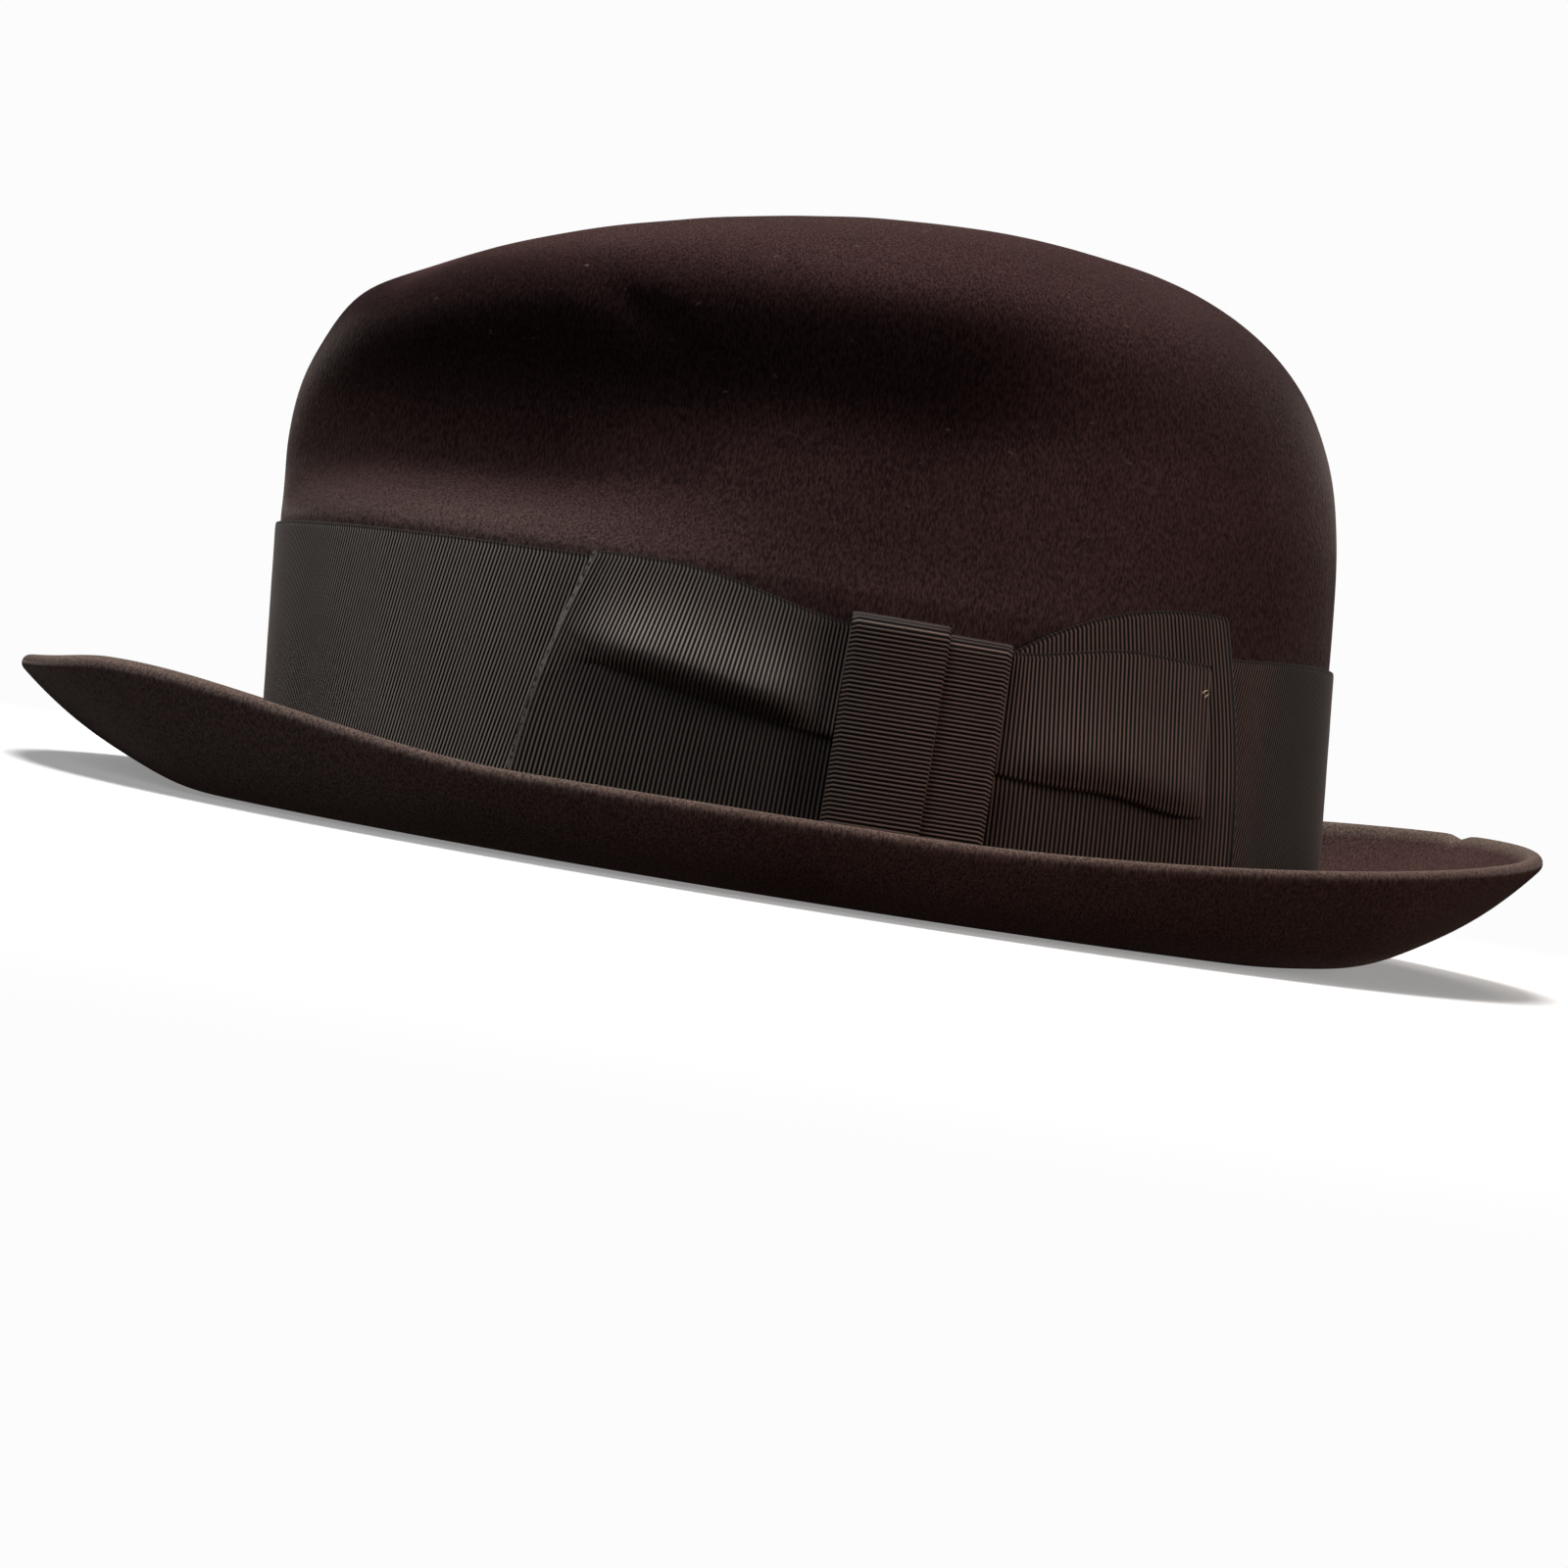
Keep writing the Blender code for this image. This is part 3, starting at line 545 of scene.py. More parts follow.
def make_felt(look):
    """Crown and brim in one felt: waves and dimples in the hand-blocked form, and a doubled edge."""
    angle = around(AROUND)
    welt_end = BRIM_REACH - WELT_WIDTH
    stops = (BRIM_REACH, welt_end, welt_end - WELT_STEP, HOLLOW_OUTER, HOLLOW_INNER, BREAK_RADIUS)
    runs = [np.linspace(*run)[1:] for run in zip(stops, stops[1:], BRIM_ROWS)]
    reaches = np.concatenate(((BRIM_REACH,), *runs))
    rows = [brim_row(angle, reach) for reach in reaches]
    rows += [break_row(angle, turn) for turn in np.linspace(0, math.pi / 2, BREAK_ROWS)[1:]]
    foot = BAND_FOOT + rear_lift(angle)
    shares = np.linspace(0, 1, WALL_ROWS)[1:]
    rows += [wall(angle, foot + (SHOULDER - foot) * share, 0.0) for share in shares]
    rows += dome_rows(angle, np.linspace(0, DOME_END, DOME_ROWS)[1:])
    face = np.array(rows)
    normal = normals(face, wrap=True)
    crown = smooth(BAND_TOP + WAVE_START, BAND_TOP + WAVE_FULL, face[..., 2])
    crown[:len(reaches)] = 0
    wave = FELT_WAVE * wander(face, FELT_WAVE_SIZE) + FELT_DIMPLE * wander(face, FELT_DIMPLE_SIZE)
    y, z = face[..., 1] - BUCKLE_AT[0], face[..., 2] - BUCKLE_AT[1]
    run = y * math.cos(BUCKLE_SLOPE) + z * math.sin(BUCKLE_SLOPE)
    rise = z * math.cos(BUCKLE_SLOPE) - y * math.sin(BUCKLE_SLOPE)
    buckle = BUCKLE_DEPTH * bell(run, BUCKLE_LENGTH) * bell(rise, BUCKLE_WIDTH) * (face[..., 0] > 0)
    away = np.hypot(face[..., 1] - CORNER_AT[0], face[..., 2] - CORNER_AT[1])
    corner = CORNER_HEIGHT * bell(away, CORNER_WIDTH)
    face = face + normal * ((wave - buckle + corner) * crown)[..., None]
    normal = normals(face, wrap=True)
    welt = np.zeros(len(face))
    welt[:len(reaches)] = smooth(welt_end - WELT_STEP, welt_end, reaches)
    upper = face + normal * (WELT * welt)[:, None, None]
    under = face - normal * FELT
    under[..., 2] = np.maximum(under[..., 2], 0.0)
    middle = (upper[0] + under[0]) / 2
    radial = (upper[0] - under[0]) / 2
    radius = np.linalg.norm(radial, axis=-1, keepdims=True)
    out = unit(upper[0] - upper[1])
    turns = np.linspace(0, math.pi, RIM_ROWS)[1:-1]
    rim = [middle + radial * math.cos(turn) + out * radius * math.sin(turn) for turn in turns]
    seen = len(reaches) + BREAK_ROWS
    grid = np.array([*upper[::-1], *rim, *under[:seen], *under[seen::INSIDE_STEP]])
    points, faces = capped(grid)
    across, along, height = np.abs(points[:, 0]), points[:, 1], points[:, 2]
    # Painted shade in the crown's dents: darker felt over the pinched sides, fading towards the band, the
    # top and the back.
    handled = DENT_SHADE_FAINT * smooth(*DENT_SHADE_FOOT, height)
    handled = handled + (1 - DENT_SHADE_FAINT) * smooth(*DENT_SHADE_LOW, height)
    handled = handled * smooth(*DENT_SHADE_HIGH, height) * smooth(*DENT_SHADE_REAR, along)
    handled = handled * (1 - smooth(*DENT_SHADE_SIDE, across) * smooth(*DENT_SHADE_FRONT, along))
    # Painted highlight along the top of the brim's edge: its last rows and the upper half of its rounded
    # rim.
    rubbed = np.zeros(len(grid))
    edge = len(upper)
    rubbed[edge - 2:edge] = 0.5, 1.0
    rubbed[edge:edge + len(rim)] = 0.5 + 0.5 * np.cos(turns)
    rubbed = np.concatenate((np.repeat(rubbed, AROUND), (0.0, 0.0)))
    add_piece("felt_shell", points, faces, look, "felt", "felt_body", handled=handled, rubbed=rubbed)


def ribbon_rows(width, inner):
    """Places across a ribbon, close together along its two looped edges."""
    edge = np.array(SELVEDGE_STEPS) * SELVEDGE
    middle = np.linspace(edge[-1], width - edge[-1], inner)
    return np.concatenate((edge[:-1], middle, width - edge[:-1][::-1]))


def ribbed(grid, phase, wrap=False):
    """Front and back of a ribbon about its middle surface, each point's place in the weave and its edges.

    Rows run across the ribbon and columns along it; phase counts ribs along it.
    """
    across = running(np.linalg.norm(np.diff(grid, axis=0), axis=-1).mean(axis=1))
    near = np.clip(1 - np.minimum(across, across[-1] - across) / SELVEDGE, 0, 1)
    ridge = 0.5 - 0.5 * np.cos(FULL_TURN * (phase[None, :] + 0.5 * near[:, None]))
    ridge = ridge ** RIB_POWER
    grid = grid.copy()
    for row, inside in ((0, 1), (-1, -2)):
        out = unit(grid[row] - grid[inside])
        grid[row] += out * (SCALLOP * (ridge[row] - 0.5))[:, None]
    half = RIBBON / 2 + RIB_HEIGHT * (ridge - RIB_MIDDLE)
    half *= 1 - SELVEDGE_THIN * near[:, None] ** 3
    offset = normals(grid, wrap) * half[..., None]
    along, across, near = np.broadcast_arrays(phase[None, :] * RIB, across[:, None], near[:, None])
    weave = np.stack((along, across, ridge), axis=-1)
    return grid + offset, grid - offset, weave.reshape(-1, 3), near


def add_ribbon(name, node, grid, phase, look, wear=0.0, wrap=False, selvedge=1.0,
               shade=0.0):
    """Ribbed ribbon piece, with its weave, wear and edge layers."""
    front, back, weave, near = ribbed(grid, phase, wrap)
    points, faces = closed_sheet(front, back, wrap)
    worn = np.broadcast_to(wear, near.shape).ravel()
    # The edge layer darkens the looped edges and carries the painted shade under panels, at ends and on the
    # knot's top.
    dark = np.maximum(selvedge * near, shade).ravel()
    layers = {"wear": np.tile(worn, 2), "weave": np.tile(weave, (2, 1)), "edge": np.tile(dark, 2)}
    item = add_piece(name, points, faces, look, "ribbon", node, **layers)


def oval_length(lift):
    """Angles round the wall's oval and the length along it up to each of them."""
    fine = np.linspace(0, FULL_TURN, 6001)
    x = (HALF_WIDTH + lift) * np.cos(fine)
    y = (HALF_LENGTH + lift) * np.sin(fine)
    return fine, running(np.hypot(np.diff(x), np.diff(y)))


def make_band(look):
    """Ribbon round the crown with leaning ribs, gathered a little lower under the bow."""
    lift = GAP + RIBBON / 2
    fine, length = oval_length(lift)
    columns = round(length[-1] / RIB) * BAND_STEPS
    place = np.arange(columns) / columns * length[-1]
    grid = []
    for up in ribbon_rows(RIBBON_WIDTH, BAND_ROWS):
        angle = np.interp((place + BAND_SKEW * (up - RIBBON_WIDTH / 2)) % length[-1], length, fine)
        y = HALF_LENGTH * np.sin(angle)
        dip = BAND_DIP * smooth(DIP_FRONT, KNOT_FRONT, y) * smooth(DIP_REAR, KNOT_REAR, y)
        narrow = 1 - np.where(np.cos(angle) > 0, dip, 0.0) / RIBBON_WIDTH
        grid.append(wall(angle, BAND_FOOT + rear_lift(angle) + up * narrow, lift))
    phase = np.arange(columns) / BAND_STEPS
    add_ribbon("band_ribbon", "hat_band", np.array(grid), phase, look,
               wrap=True)


def swell(share):
    """Bulge of a soft panel above its lower edge: 1 at PUFF_AT, fading out towards the top."""
    place = np.asarray(share, dtype=float) / PUFF_AT
    return place * np.exp(1 - place)


def pleat_section(width, fold, overlap, step, puff):
    """Heights up the ribbon and lifts of the soft knife pleat, from the lower edge to the upper edge."""
    hidden = fold + overlap / 2
    shown = fold - overlap / 2
    rows = ribbon_rows(width, PLEAT_ROWS)
    rows = rows[rows < width / 2]
    lower = np.stack((rows / rows[-1] * hidden, np.zeros(len(rows))), axis=-1)
    turn = np.linspace(-math.pi / 2, math.pi / 2, 7)[1:-1]
    over = np.stack((hidden + step / 2 * np.cos(turn), step / 2 * (1 + np.sin(turn))), axis=-1)
    flat = np.stack((np.linspace(hidden, shown, 6), np.full(6, step)), axis=-1)
    back = np.stack((shown - step / 2 * np.cos(turn), step / 2 * (3 + np.sin(turn))), axis=-1)
    folded = np.concatenate((over, flat, back))
    share = np.linspace(0, 1, len(folded) + 2)[1:-1]
    eased = np.stack((hidden + (shown - hidden) * share, 2 * step * smooth(0, 1, share)), axis=-1)
    mix = float(smooth(-0.0005, 0.0020, overlap))
    share = 1 - rows[::-1] / rows[-1]
    upper = np.stack((shown + (width - shown) * share, step * (2 - share) + puff * swell(share)), axis=-1)
    return np.concatenate((lower, eased + (folded - eased) * mix, upper))


def loop_width(share):
    """Width of the front loop, which is gathered lower towards the knot."""
    dip = (LOOP_TOP_RISE + KNOT_DROP + KNOT_ROUND) * smooth(0.75, 0, share)
    return RIBBON_WIDTH + LOOP_TOP_RISE - LOOP_FOOT - float(dip)


def make_front_loop(look):
    """Front loop: a back ply on the band, a fold, and a front ply with the soft pleat."""
    knot_end = KNOT_FRONT + UNDER_KNOT
    length = knot_end - (LOOP_FOLD_TOP + LOOP_FOLD_FOOT) / 2
    ribs = round(length / RIB)
    front = []
    for share in np.linspace(1, 0, ribs * RIB_STEPS + 1):
        open_out = float(smooth(0.05, 0.95, share))
        width = loop_width(share)
        fold = PLEAT_AT_KNOT + (PLEAT_AT_FOLD - PLEAT_AT_KNOT) * open_out
        overlap = float(np.interp(share, (0, PLEAT_STOP, 1), (PLEAT_OVERLAP, 0, -PLEAT_OPEN)))
        step = PLY * float(smooth(1, PLEAT_STOP, share))
        puff = PLEAT_PUFF * float(smooth(1, 0.62, share) * smooth(0.09, 0.35, share))
        up, lift = pleat_section(width, fold, overlap, step, puff).T
        end = LOOP_FOLD_FOOT + (LOOP_FOLD_TOP - LOOP_FOLD_FOOT) * up / width
        end = end - FOLD_BOW * np.sin(math.pi * up / width)
        y = knot_end + (end - knot_end) * share
        height = BAND_FOOT + LOOP_FOOT + up
        front.append(on_side(y, height, LOOP_LIFT + lift))
        if share == 1:
            fold_y, fold_height, fold_up = y, height, up / width
    bend = []
    for turn in np.radians(np.linspace(180, 0, FOLD_TURNS)[1:-1]):
        lift = BOW_LIFT + PLY / 2 * (1 + math.cos(turn))
        bend.append(on_side(fold_y - PLY / 2 * math.sin(turn), fold_height, lift))
    back = []
    for share in np.linspace(0.2, 1, 40):
        height = BAND_FOOT + LOOP_FOOT + loop_width(share) * fold_up
        back.append(on_side(knot_end + (fold_y - knot_end) * share, height, BOW_LIFT))
    grid = np.swapaxes(np.array([*back, *bend, *front]), 0, 1)
    hidden = len(back) + len(bend)
    phase = FOLD_PHASE + np.concatenate((np.zeros(hidden), np.arange(len(front)) / RIB_STEPS))
    wear = FOLD_WEAR * bell(np.arange(grid.shape[1]) - hidden + 1, 6)
    under = fold_up <= (PLEAT_AT_FOLD - PLEAT_OPEN / 2) / loop_width(1)
    shade = np.where(under, UNDER_SHADE, 0.0)[:, None]
    add_ribbon("bow_front_ribbon", "bow_front_loop", grid, phase, look, wear,
               shade=shade)


def make_tail(look):
    """Rear layer of the bow, standing above the band behind the knot and hemmed under at its end."""
    start = KNOT_FRONT + 2 * UNDER_KNOT
    foot = BAND_FOOT + LOOP_FOOT
    length = (TAIL_END_TOP + TAIL_END_FOOT) / 2 - start
    ribs = round(length / RIB)
    share = np.linspace(0, 1, ribs * RIB_STEPS + 1)
    lift = BOW_LIFT + TAIL_FOLD * smooth(0.80, 0.97, share)
    turn = np.radians(np.linspace(0, 180, FOLD_TURNS)[1:])
    hem = np.linspace(0, TAIL_HEM, 12)[1:]
    share = np.concatenate((share, 1 + TAIL_FOLD / 2 * np.sin(turn) / length, 1 - hem / length))
    folded = BOW_LIFT + TAIL_FOLD / 2 * (1 + np.cos(turn))
    lift = np.concatenate((lift, folded, np.full(len(hem), BOW_LIFT)))
    left = np.clip(1 - (share - TAIL_CLEAR) / (1 - TAIL_CLEAR), 0, 1)
    top = KNOT_TOP - KNOT_ROUND + (KNOT_DROP + KNOT_ROUND + TAIL_TOP_RISE) * (1 - left ** TAIL_POWER)
    grid = []
    ups = ribbon_rows(RIBBON_WIDTH, TAIL_ROWS) / RIBBON_WIDTH
    for up in ups:
        end = TAIL_END_FOOT + (TAIL_END_TOP - TAIL_END_FOOT) * up + TAIL_BOW * math.sin(math.pi * up)
        grid.append(on_side(start + (end - start) * share, foot + (top - foot) * up, lift))
    phase = np.arange(len(share)) / RIB_STEPS
    under = UNDER_SHADE * smooth(0.48, 0.36, ups)[:, None]
    at_end = np.arange(len(share)) > ribs * RIB_STEPS - END_STEPS
    shade = np.maximum(under, np.where(at_end, END_SHADE, 0.0))
    add_ribbon("bow_tail_ribbon", "bow_tail", np.array(grid), phase, look,
               shade=shade)


def make_rear_loop(look):
    """Loop on the tail whose lower edge rolls under and tucks up behind it."""
    start = KNOT_REAR - UNDER_KNOT
    length = ROLL_END - start
    ribs = round(length / RIB)
    shares = np.linspace(0, 1, ribs * RIB_STEPS + 1)
    close = smooth(0.85, 1.05, shares)
    lean = ROLL_SKEW * smooth(0, 0.3, shares)
    top = KNOT_TOP - KNOT_ROUND + (KNOT_DROP + KNOT_ROUND - ROLL_TOP_DROP) * smooth(0.1, 0.7, shares)
    foot = top - ROLL_AT_KNOT - (ROLL_AT_END - ROLL_AT_KNOT) * smooth(0, 1, shares)
    puff = (PLY + (ROLL_PUFF - PLY) * smooth(0.1, 0.4, shares)) * (1 - 0.7 * close)
    middle = (top + foot) / 2

    def along(height):
        return start + length * shares - lean * (height - middle)

    rows = []
    for share in np.linspace(1, 0.06, 14):
        height = foot + ROLL_TUCK * share
        rows.append(on_side(along(height), height, LOOP_LIFT))
    for turn in np.radians(np.linspace(0, 180, FOLD_TURNS)[1:-1]):
        lift = LOOP_LIFT + 0.3 * puff * (1 - math.cos(turn))
        height = foot - 0.3 * puff * math.sin(turn)
        rows.append(on_side(along(height), height, lift))
    ups = 1 - ribbon_rows(ROLL_AT_END, ROLL_ROWS)[:ROLL_ROWS + 2][::-1] / ROLL_AT_END
    for up in (ups - ups[0]) / (1 - ups[0]):
        lift = LOOP_LIFT + puff * (0.6 + 0.4 * swell(up) - 0.3 * up)
        height = foot + (top - foot) * up
        rows.append(on_side(along(height), height, lift))
    phase = np.arange(len(shares)) / RIB_STEPS
    wear = ROLL_WEAR * bell(np.arange(len(shares)) - len(shares), 5)
    add_ribbon("bow_rear_ribbon", "bow_rear_loop", np.array(rows), phase, look,
               wear)


def arc(start, end, centre, radius, count):
    """Points of an arc in a section, with angles in degrees."""
    turn = np.radians(np.linspace(start, end, count))
    return [(centre[0] + radius * math.cos(t), centre[1] + radius * math.sin(t)) for t in turn]


def make_knot(look):
    """Upright wrap over the middle of the bow, with one pleat, turned back to the crown at its top."""
    width = KNOT_REAR - KNOT_FRONT
    shown = KNOT_PLEAT + KNOT_OVERLAP / 2
    hidden = KNOT_PLEAT - KNOT_OVERLAP / 2
    edge = ribbon_rows(width, KNOT_ROWS)
    across = [(place, 2 * PLY) for place in edge[edge < shown - PLY]]
    across += arc(90, -90, (shown, 1.5 * PLY), PLY / 2, 7)
    across += [(hidden + (shown - hidden) * s, PLY) for s in (0.66, 0.33)]
    across += arc(90, 270, (hidden, PLY / 2), PLY / 2, 7)
    across += [(place, 0.0) for place in edge[edge > hidden + PLY / 2]]
    foot = BAND_FOOT + GAP
    on_crown = GAP + RIBBON / 2
    reach = KNOT_LIFT - on_crown
    turn = np.linspace(0, math.pi / 2, 20)
    bend = np.stack((KNOT_ROUND * (1 - np.sin(turn)), reach - KNOT_ROUND * (1 - np.cos(turn))), axis=-1)
    low, high = (foot, 0.0) + bend[::-1], (KNOT_TOP, 0.0) + bend * (-1, 1)
    path = np.concatenate((low, high, [(KNOT_TOP, 0.0)]))
    length = running(np.linalg.norm(np.diff(path, axis=0), axis=1))
    stops = np.linspace(0, length[-1], round(length[-1] / RIB) * RIB_STEPS + 1)
    heights = np.interp(stops, length, path[:, 0])
    depths = np.interp(stops, length, path[:, 1])
    grid = []
    for place, lift in across[::-1]:
        drop = KNOT_STEP * (1 - lift / (2 * PLY)) * (heights - foot) / (KNOT_TOP - foot)
        out = on_crown + depths + lift * (0.5 + depths / reach / 2)
        grid.append(on_side(KNOT_FRONT + place, heights - drop, out))
    phase = np.arange(len(stops)) / RIB_STEPS
    shade = END_SHADE * smooth(KNOT_TOP - KNOT_ROUND, KNOT_TOP - 0.35 * KNOT_ROUND, heights)
    add_ribbon("bow_knot_ribbon", "bow_knot", np.array(grid), phase, look,
               selvedge=0.0, shade=shade)


def sweatband_depth(height, angle):
    """Depth of the leather's outer face inside the crown; it leans in towards its free upper edge."""
    share = (height - SWEATBAND_FOOT - rear_lift(angle)) / SWEATBAND_WIDTH
    return FELT_INSIDE + (SWEATBAND_FACE - FELT_INSIDE) * share


def make_sweatband(look):
    """Leather band, open at the rear seam, with two tooled lines and a soft wave in its free edge."""
    slit = SWEATBAND_SLIT / HALF_LENGTH
    angle = np.linspace(REAR_ANGLE + slit, REAR_ANGLE + FULL_TURN - slit, SWEATBAND_COLUMNS)
    zone = np.linspace(0, TOOLED_ZONE, SWEATBAND_ROWS)
    plain = np.linspace(TOOLED_ZONE, SWEATBAND_WIDTH, SWEATBAND_ROWS)[1:]
    outer, inner = [], []
    for drop in np.concatenate((zone, plain))[::-1]:
        height = SWEATBAND_TOP - drop + rear_lift(angle)
        depth = sweatband_depth(height, angle)
        groove = sum(TOOLED_DEPTH * bell(drop - line, TOOLED_WIDTH) for line in TOOLED_LINES)
        thin = 0.5 * bell(drop, LEATHER_SKIVE) * LEATHER
        wave = 1 + np.sin(9 * angle + 2 * np.sin(4 * angle))
        wave = LEATHER_WAVE * smooth(LEATHER_LIMP, 0, drop) * wave
        outer.append(wall(angle, height, -depth - thin - wave))
        inner.append(wall(angle, height, -depth - LEATHER + groove + thin * 0.6 - wave))
    points, faces = closed_sheet(np.array(outer), np.array(inner))
    add_piece("sweatband_leather", points, faces, look, "leather", "sweatband")


def add_cord(name, node, ring, radius, twists, depth, look, slot):
    """Twisted cord along a closed ring of points."""
    ahead = unit(np.roll(ring, -1, axis=0) - np.roll(ring, 1, axis=0))
    side = unit(np.cross(ahead, (0.0, 0.0, 1.0)))
    rise = np.cross(side, ahead)
    turn = around(CORD_SIDES)[:, None]
    lay = FULL_TURN * twists * np.arange(len(ring)) / len(ring)
    size = radius * (1 - depth * (0.5 - 0.5 * np.cos(2 * turn + lay)))
    spread = np.cos(turn)[..., None] * side + np.sin(turn)[..., None] * rise
    grid = ring + spread * size[..., None]
    faces = quads(len(turn) + 1, len(ring), wrap=True) % (len(turn) * len(ring))
    add_piece(name, grid.reshape(-1, 3), faces.tolist(), look, slot, node)


def stitch_row(places, ahead, out, length, width):
    """Points and faces of a row of plump thread stitches that sink at both ends."""
    points, faces = [], []
    shares = np.linspace(-1, 1, 7)
    turns = around(6)
    for place, along, lift in zip(places, ahead, out):
        side = np.cross(along, lift)
        start = len(points)
        for share in shares:
            thick = width * math.sqrt(max(1 - share * share, 0.04))
            middle = place + along * (share * length / 2) + lift * (width * 0.5 * (1 - share * share))
            points += [middle + thick * (math.cos(t) * side + math.sin(t) * lift) for t in turns]
        faces += quads(len(shares), len(turns), wrap=True, start=start).tolist()
        last = start + (len(shares) - 1) * len(turns)
        faces += [list(range(start, start + len(turns))), list(range(last, last + len(turns)))]
    return points, faces


def make_stitching(look):
    """Row of stitches through the leather, just above the reed."""
    fine, length = oval_length(-FELT_INSIDE - LEATHER)
    count = round(length[-1] / STITCH_PITCH)
    angle = np.interp((np.arange(count) + 0.5) / count * length[-1], length, fine)
    height = SWEATBAND_FOOT + STITCH_RISE + rear_lift(angle)
    depth = sweatband_depth(height, angle) + LEATHER
    places = wall(angle, height, -depth)
    ahead = unit(wall(angle + 0.01, height, -depth) - wall(angle - 0.01, height, -depth))
    out = np.cross(ahead, (0.0, 0.0, 1.0)) * -1
    points, faces = stitch_row(places, ahead, out, STITCH_LENGTH, THREAD)
    add_piece("sweatband_stitches", points, faces, look, "leather")


def make_tacks(look):
    """Short light threads that tack the rear loop to the tail."""
    at = ((0.0716, BAND_TOP - 0.0062), (0.0722, BAND_TOP - 0.0070))
    places = [on_side(y, height, LOOP_LIFT + 0.9 * PLY) for y, height in at]
    ahead = [np.array((0.0, 0.75, 0.66)), np.array((0.0, 0.55, 0.83))]
    out = [np.array((0.75, -0.44, 0.5)), np.array((0.75, -0.55, 0.36))]
    points, faces = stitch_row(places, ahead, out, TACK_LENGTH, TACK_THREAD)
    add_piece("bow_tack_threads", points, faces, look, "ribbon")


def make_reed(look):
    """Covered reed along the sweatband's lower edge."""
    angle = around(REED_COLUMNS)
    level = SWEATBAND_FOOT - GAP - REED_RADIUS + rear_lift(angle)
    ring = wall(angle, level, -FELT_INSIDE - GAP - REED_RADIUS)
    add_cord("sweatband_reed_cord", "sweatband_reed", ring, REED_RADIUS, *REED_TWIST, look, "reed")


def make_inner_bow(look):
    """Small ribbed bow and its wrap on the sweatband's rear seam; the wrap is too small for a sheet."""
    for wrapped in (False, True):
        length = INNER_KNOT_LENGTH if wrapped else INNER_BOW_LENGTH
        depth = LEATHER + GAP + PLY * wrapped + RIBBON / 2
        along = np.linspace(length / 2, -length / 2, round(length / RIB) * RIB_STEPS + 1)
        spread = smooth(0.1, 0.8, np.abs(along) / (length / 2))
        tall = INNER_BOW_WAIST + (INNER_BOW_WIDTH - INNER_BOW_WAIST) * spread
        if wrapped:
            tall = INNER_BOW_WAIST + 2 * RIBBON
        angle = REAR_ANGLE + along / HALF_WIDTH
        grid = []
        for up in np.linspace(-0.5, 0.5, 15):
            height = SWEATBAND_FOOT + rear_lift(angle) + INNER_BOW_RISE + tall * up
            grid.append(wall(angle, height, -sweatband_depth(height, angle) - depth))
        phase = np.arange(len(along)) / RIB_STEPS
        name, node, flat, area = "inner_bow_wrap", "sweatband_bow_knot", None, None
        if not wrapped:
            flat = (max(np.max(tall), SHEET_LEAST), length)
            name, node, area = "inner_bow_ribbon", "sweatband_bow", 0.75 * flat[0] * flat[1]
        add_ribbon(name, node, np.array(grid), phase, look)


def make_lining(look):
    """Satin side with soft gathers, satin tip, and a twisted piping cord along their lap."""
    angle = around(AROUND)
    shares = np.linspace(LINING_START, LINING_SEAM, LINING_ROWS)
    dome, below, above = (np.array(dome_rows(angle, shares + step)) for step in (0, -0.004, 0.004))
    out = unit(np.cross(np.roll(dome, -1, axis=1) - np.roll(dome, 1, axis=1), above - below))
    hem = SWEATBAND_TOP - LINING_TUCK + rear_lift(angle)
    rises = np.linspace(0, LINING_TUCK + LINING_EASE, 6)
    low = np.array([wall(angle, hem + rise, -FELT_INSIDE) for rise in rises])
    gather = np.cos(GATHERS * angle + 1.5 * np.sin(7 * angle)) + 0.6 * np.cos(29 * angle + 1.1)
    fade = np.sin(np.linspace(0, math.pi, len(dome)))[:, None]
    side = dome - out * (LINING_FACE + GATHER_DEPTH * (1 + gather) * fade)[..., None]
    grid = np.concatenate((low, side))
    back = grid - normals(grid, wrap=True) * SATIN
    points, faces = closed_sheet(grid, back, wrap=True)
    item = add_piece("lining_side_satin", points, faces, look, "satin", "lining_side")

    lap = LINING_FACE + SATIN + GAP
    shares = np.concatenate(((LINING_SEAM - SEAM_STEP,), np.linspace(LINING_SEAM, TIP_END, TIP_ROWS)))
    face = np.array(dome_rows(angle, shares))
    tip = (face - normals(face, wrap=True) * lap)[1:]
    under = (face - normals(face, wrap=True) * (lap + SATIN))[1:]
    points, faces = capped(np.concatenate((tip[::-1], under)))
    item = add_piece("lining_tip_satin", points, faces, look, "satin", "lining_tip")

    shares = (PIPING_SEAM - SEAM_STEP, PIPING_SEAM, PIPING_SEAM + SEAM_STEP)
    seam = np.array(dome_rows(around(PIPING_COLUMNS), shares))
    line = (seam - normals(seam, wrap=True) * (lap + PIPING_RADIUS))[1]
    add_cord("lining_piping_cord", "lining_piping", line, PIPING_RADIUS, *PIPING_TWIST, look, "satin")


def add_node(tree, kind, inputs=None, **settings):
    """Shader node with its settings, and its inputs given as values or as sockets to link."""
    made = tree.nodes.new("ShaderNode" + kind)
    for key, value in settings.items():
        setattr(made, key, value)
    for key, value in (inputs or {}).items():
        if isinstance(value, bpy.types.NodeSocket):
            tree.links.new(value, made.inputs[key])
        else:
            made.inputs[key].default_value = value
    return made


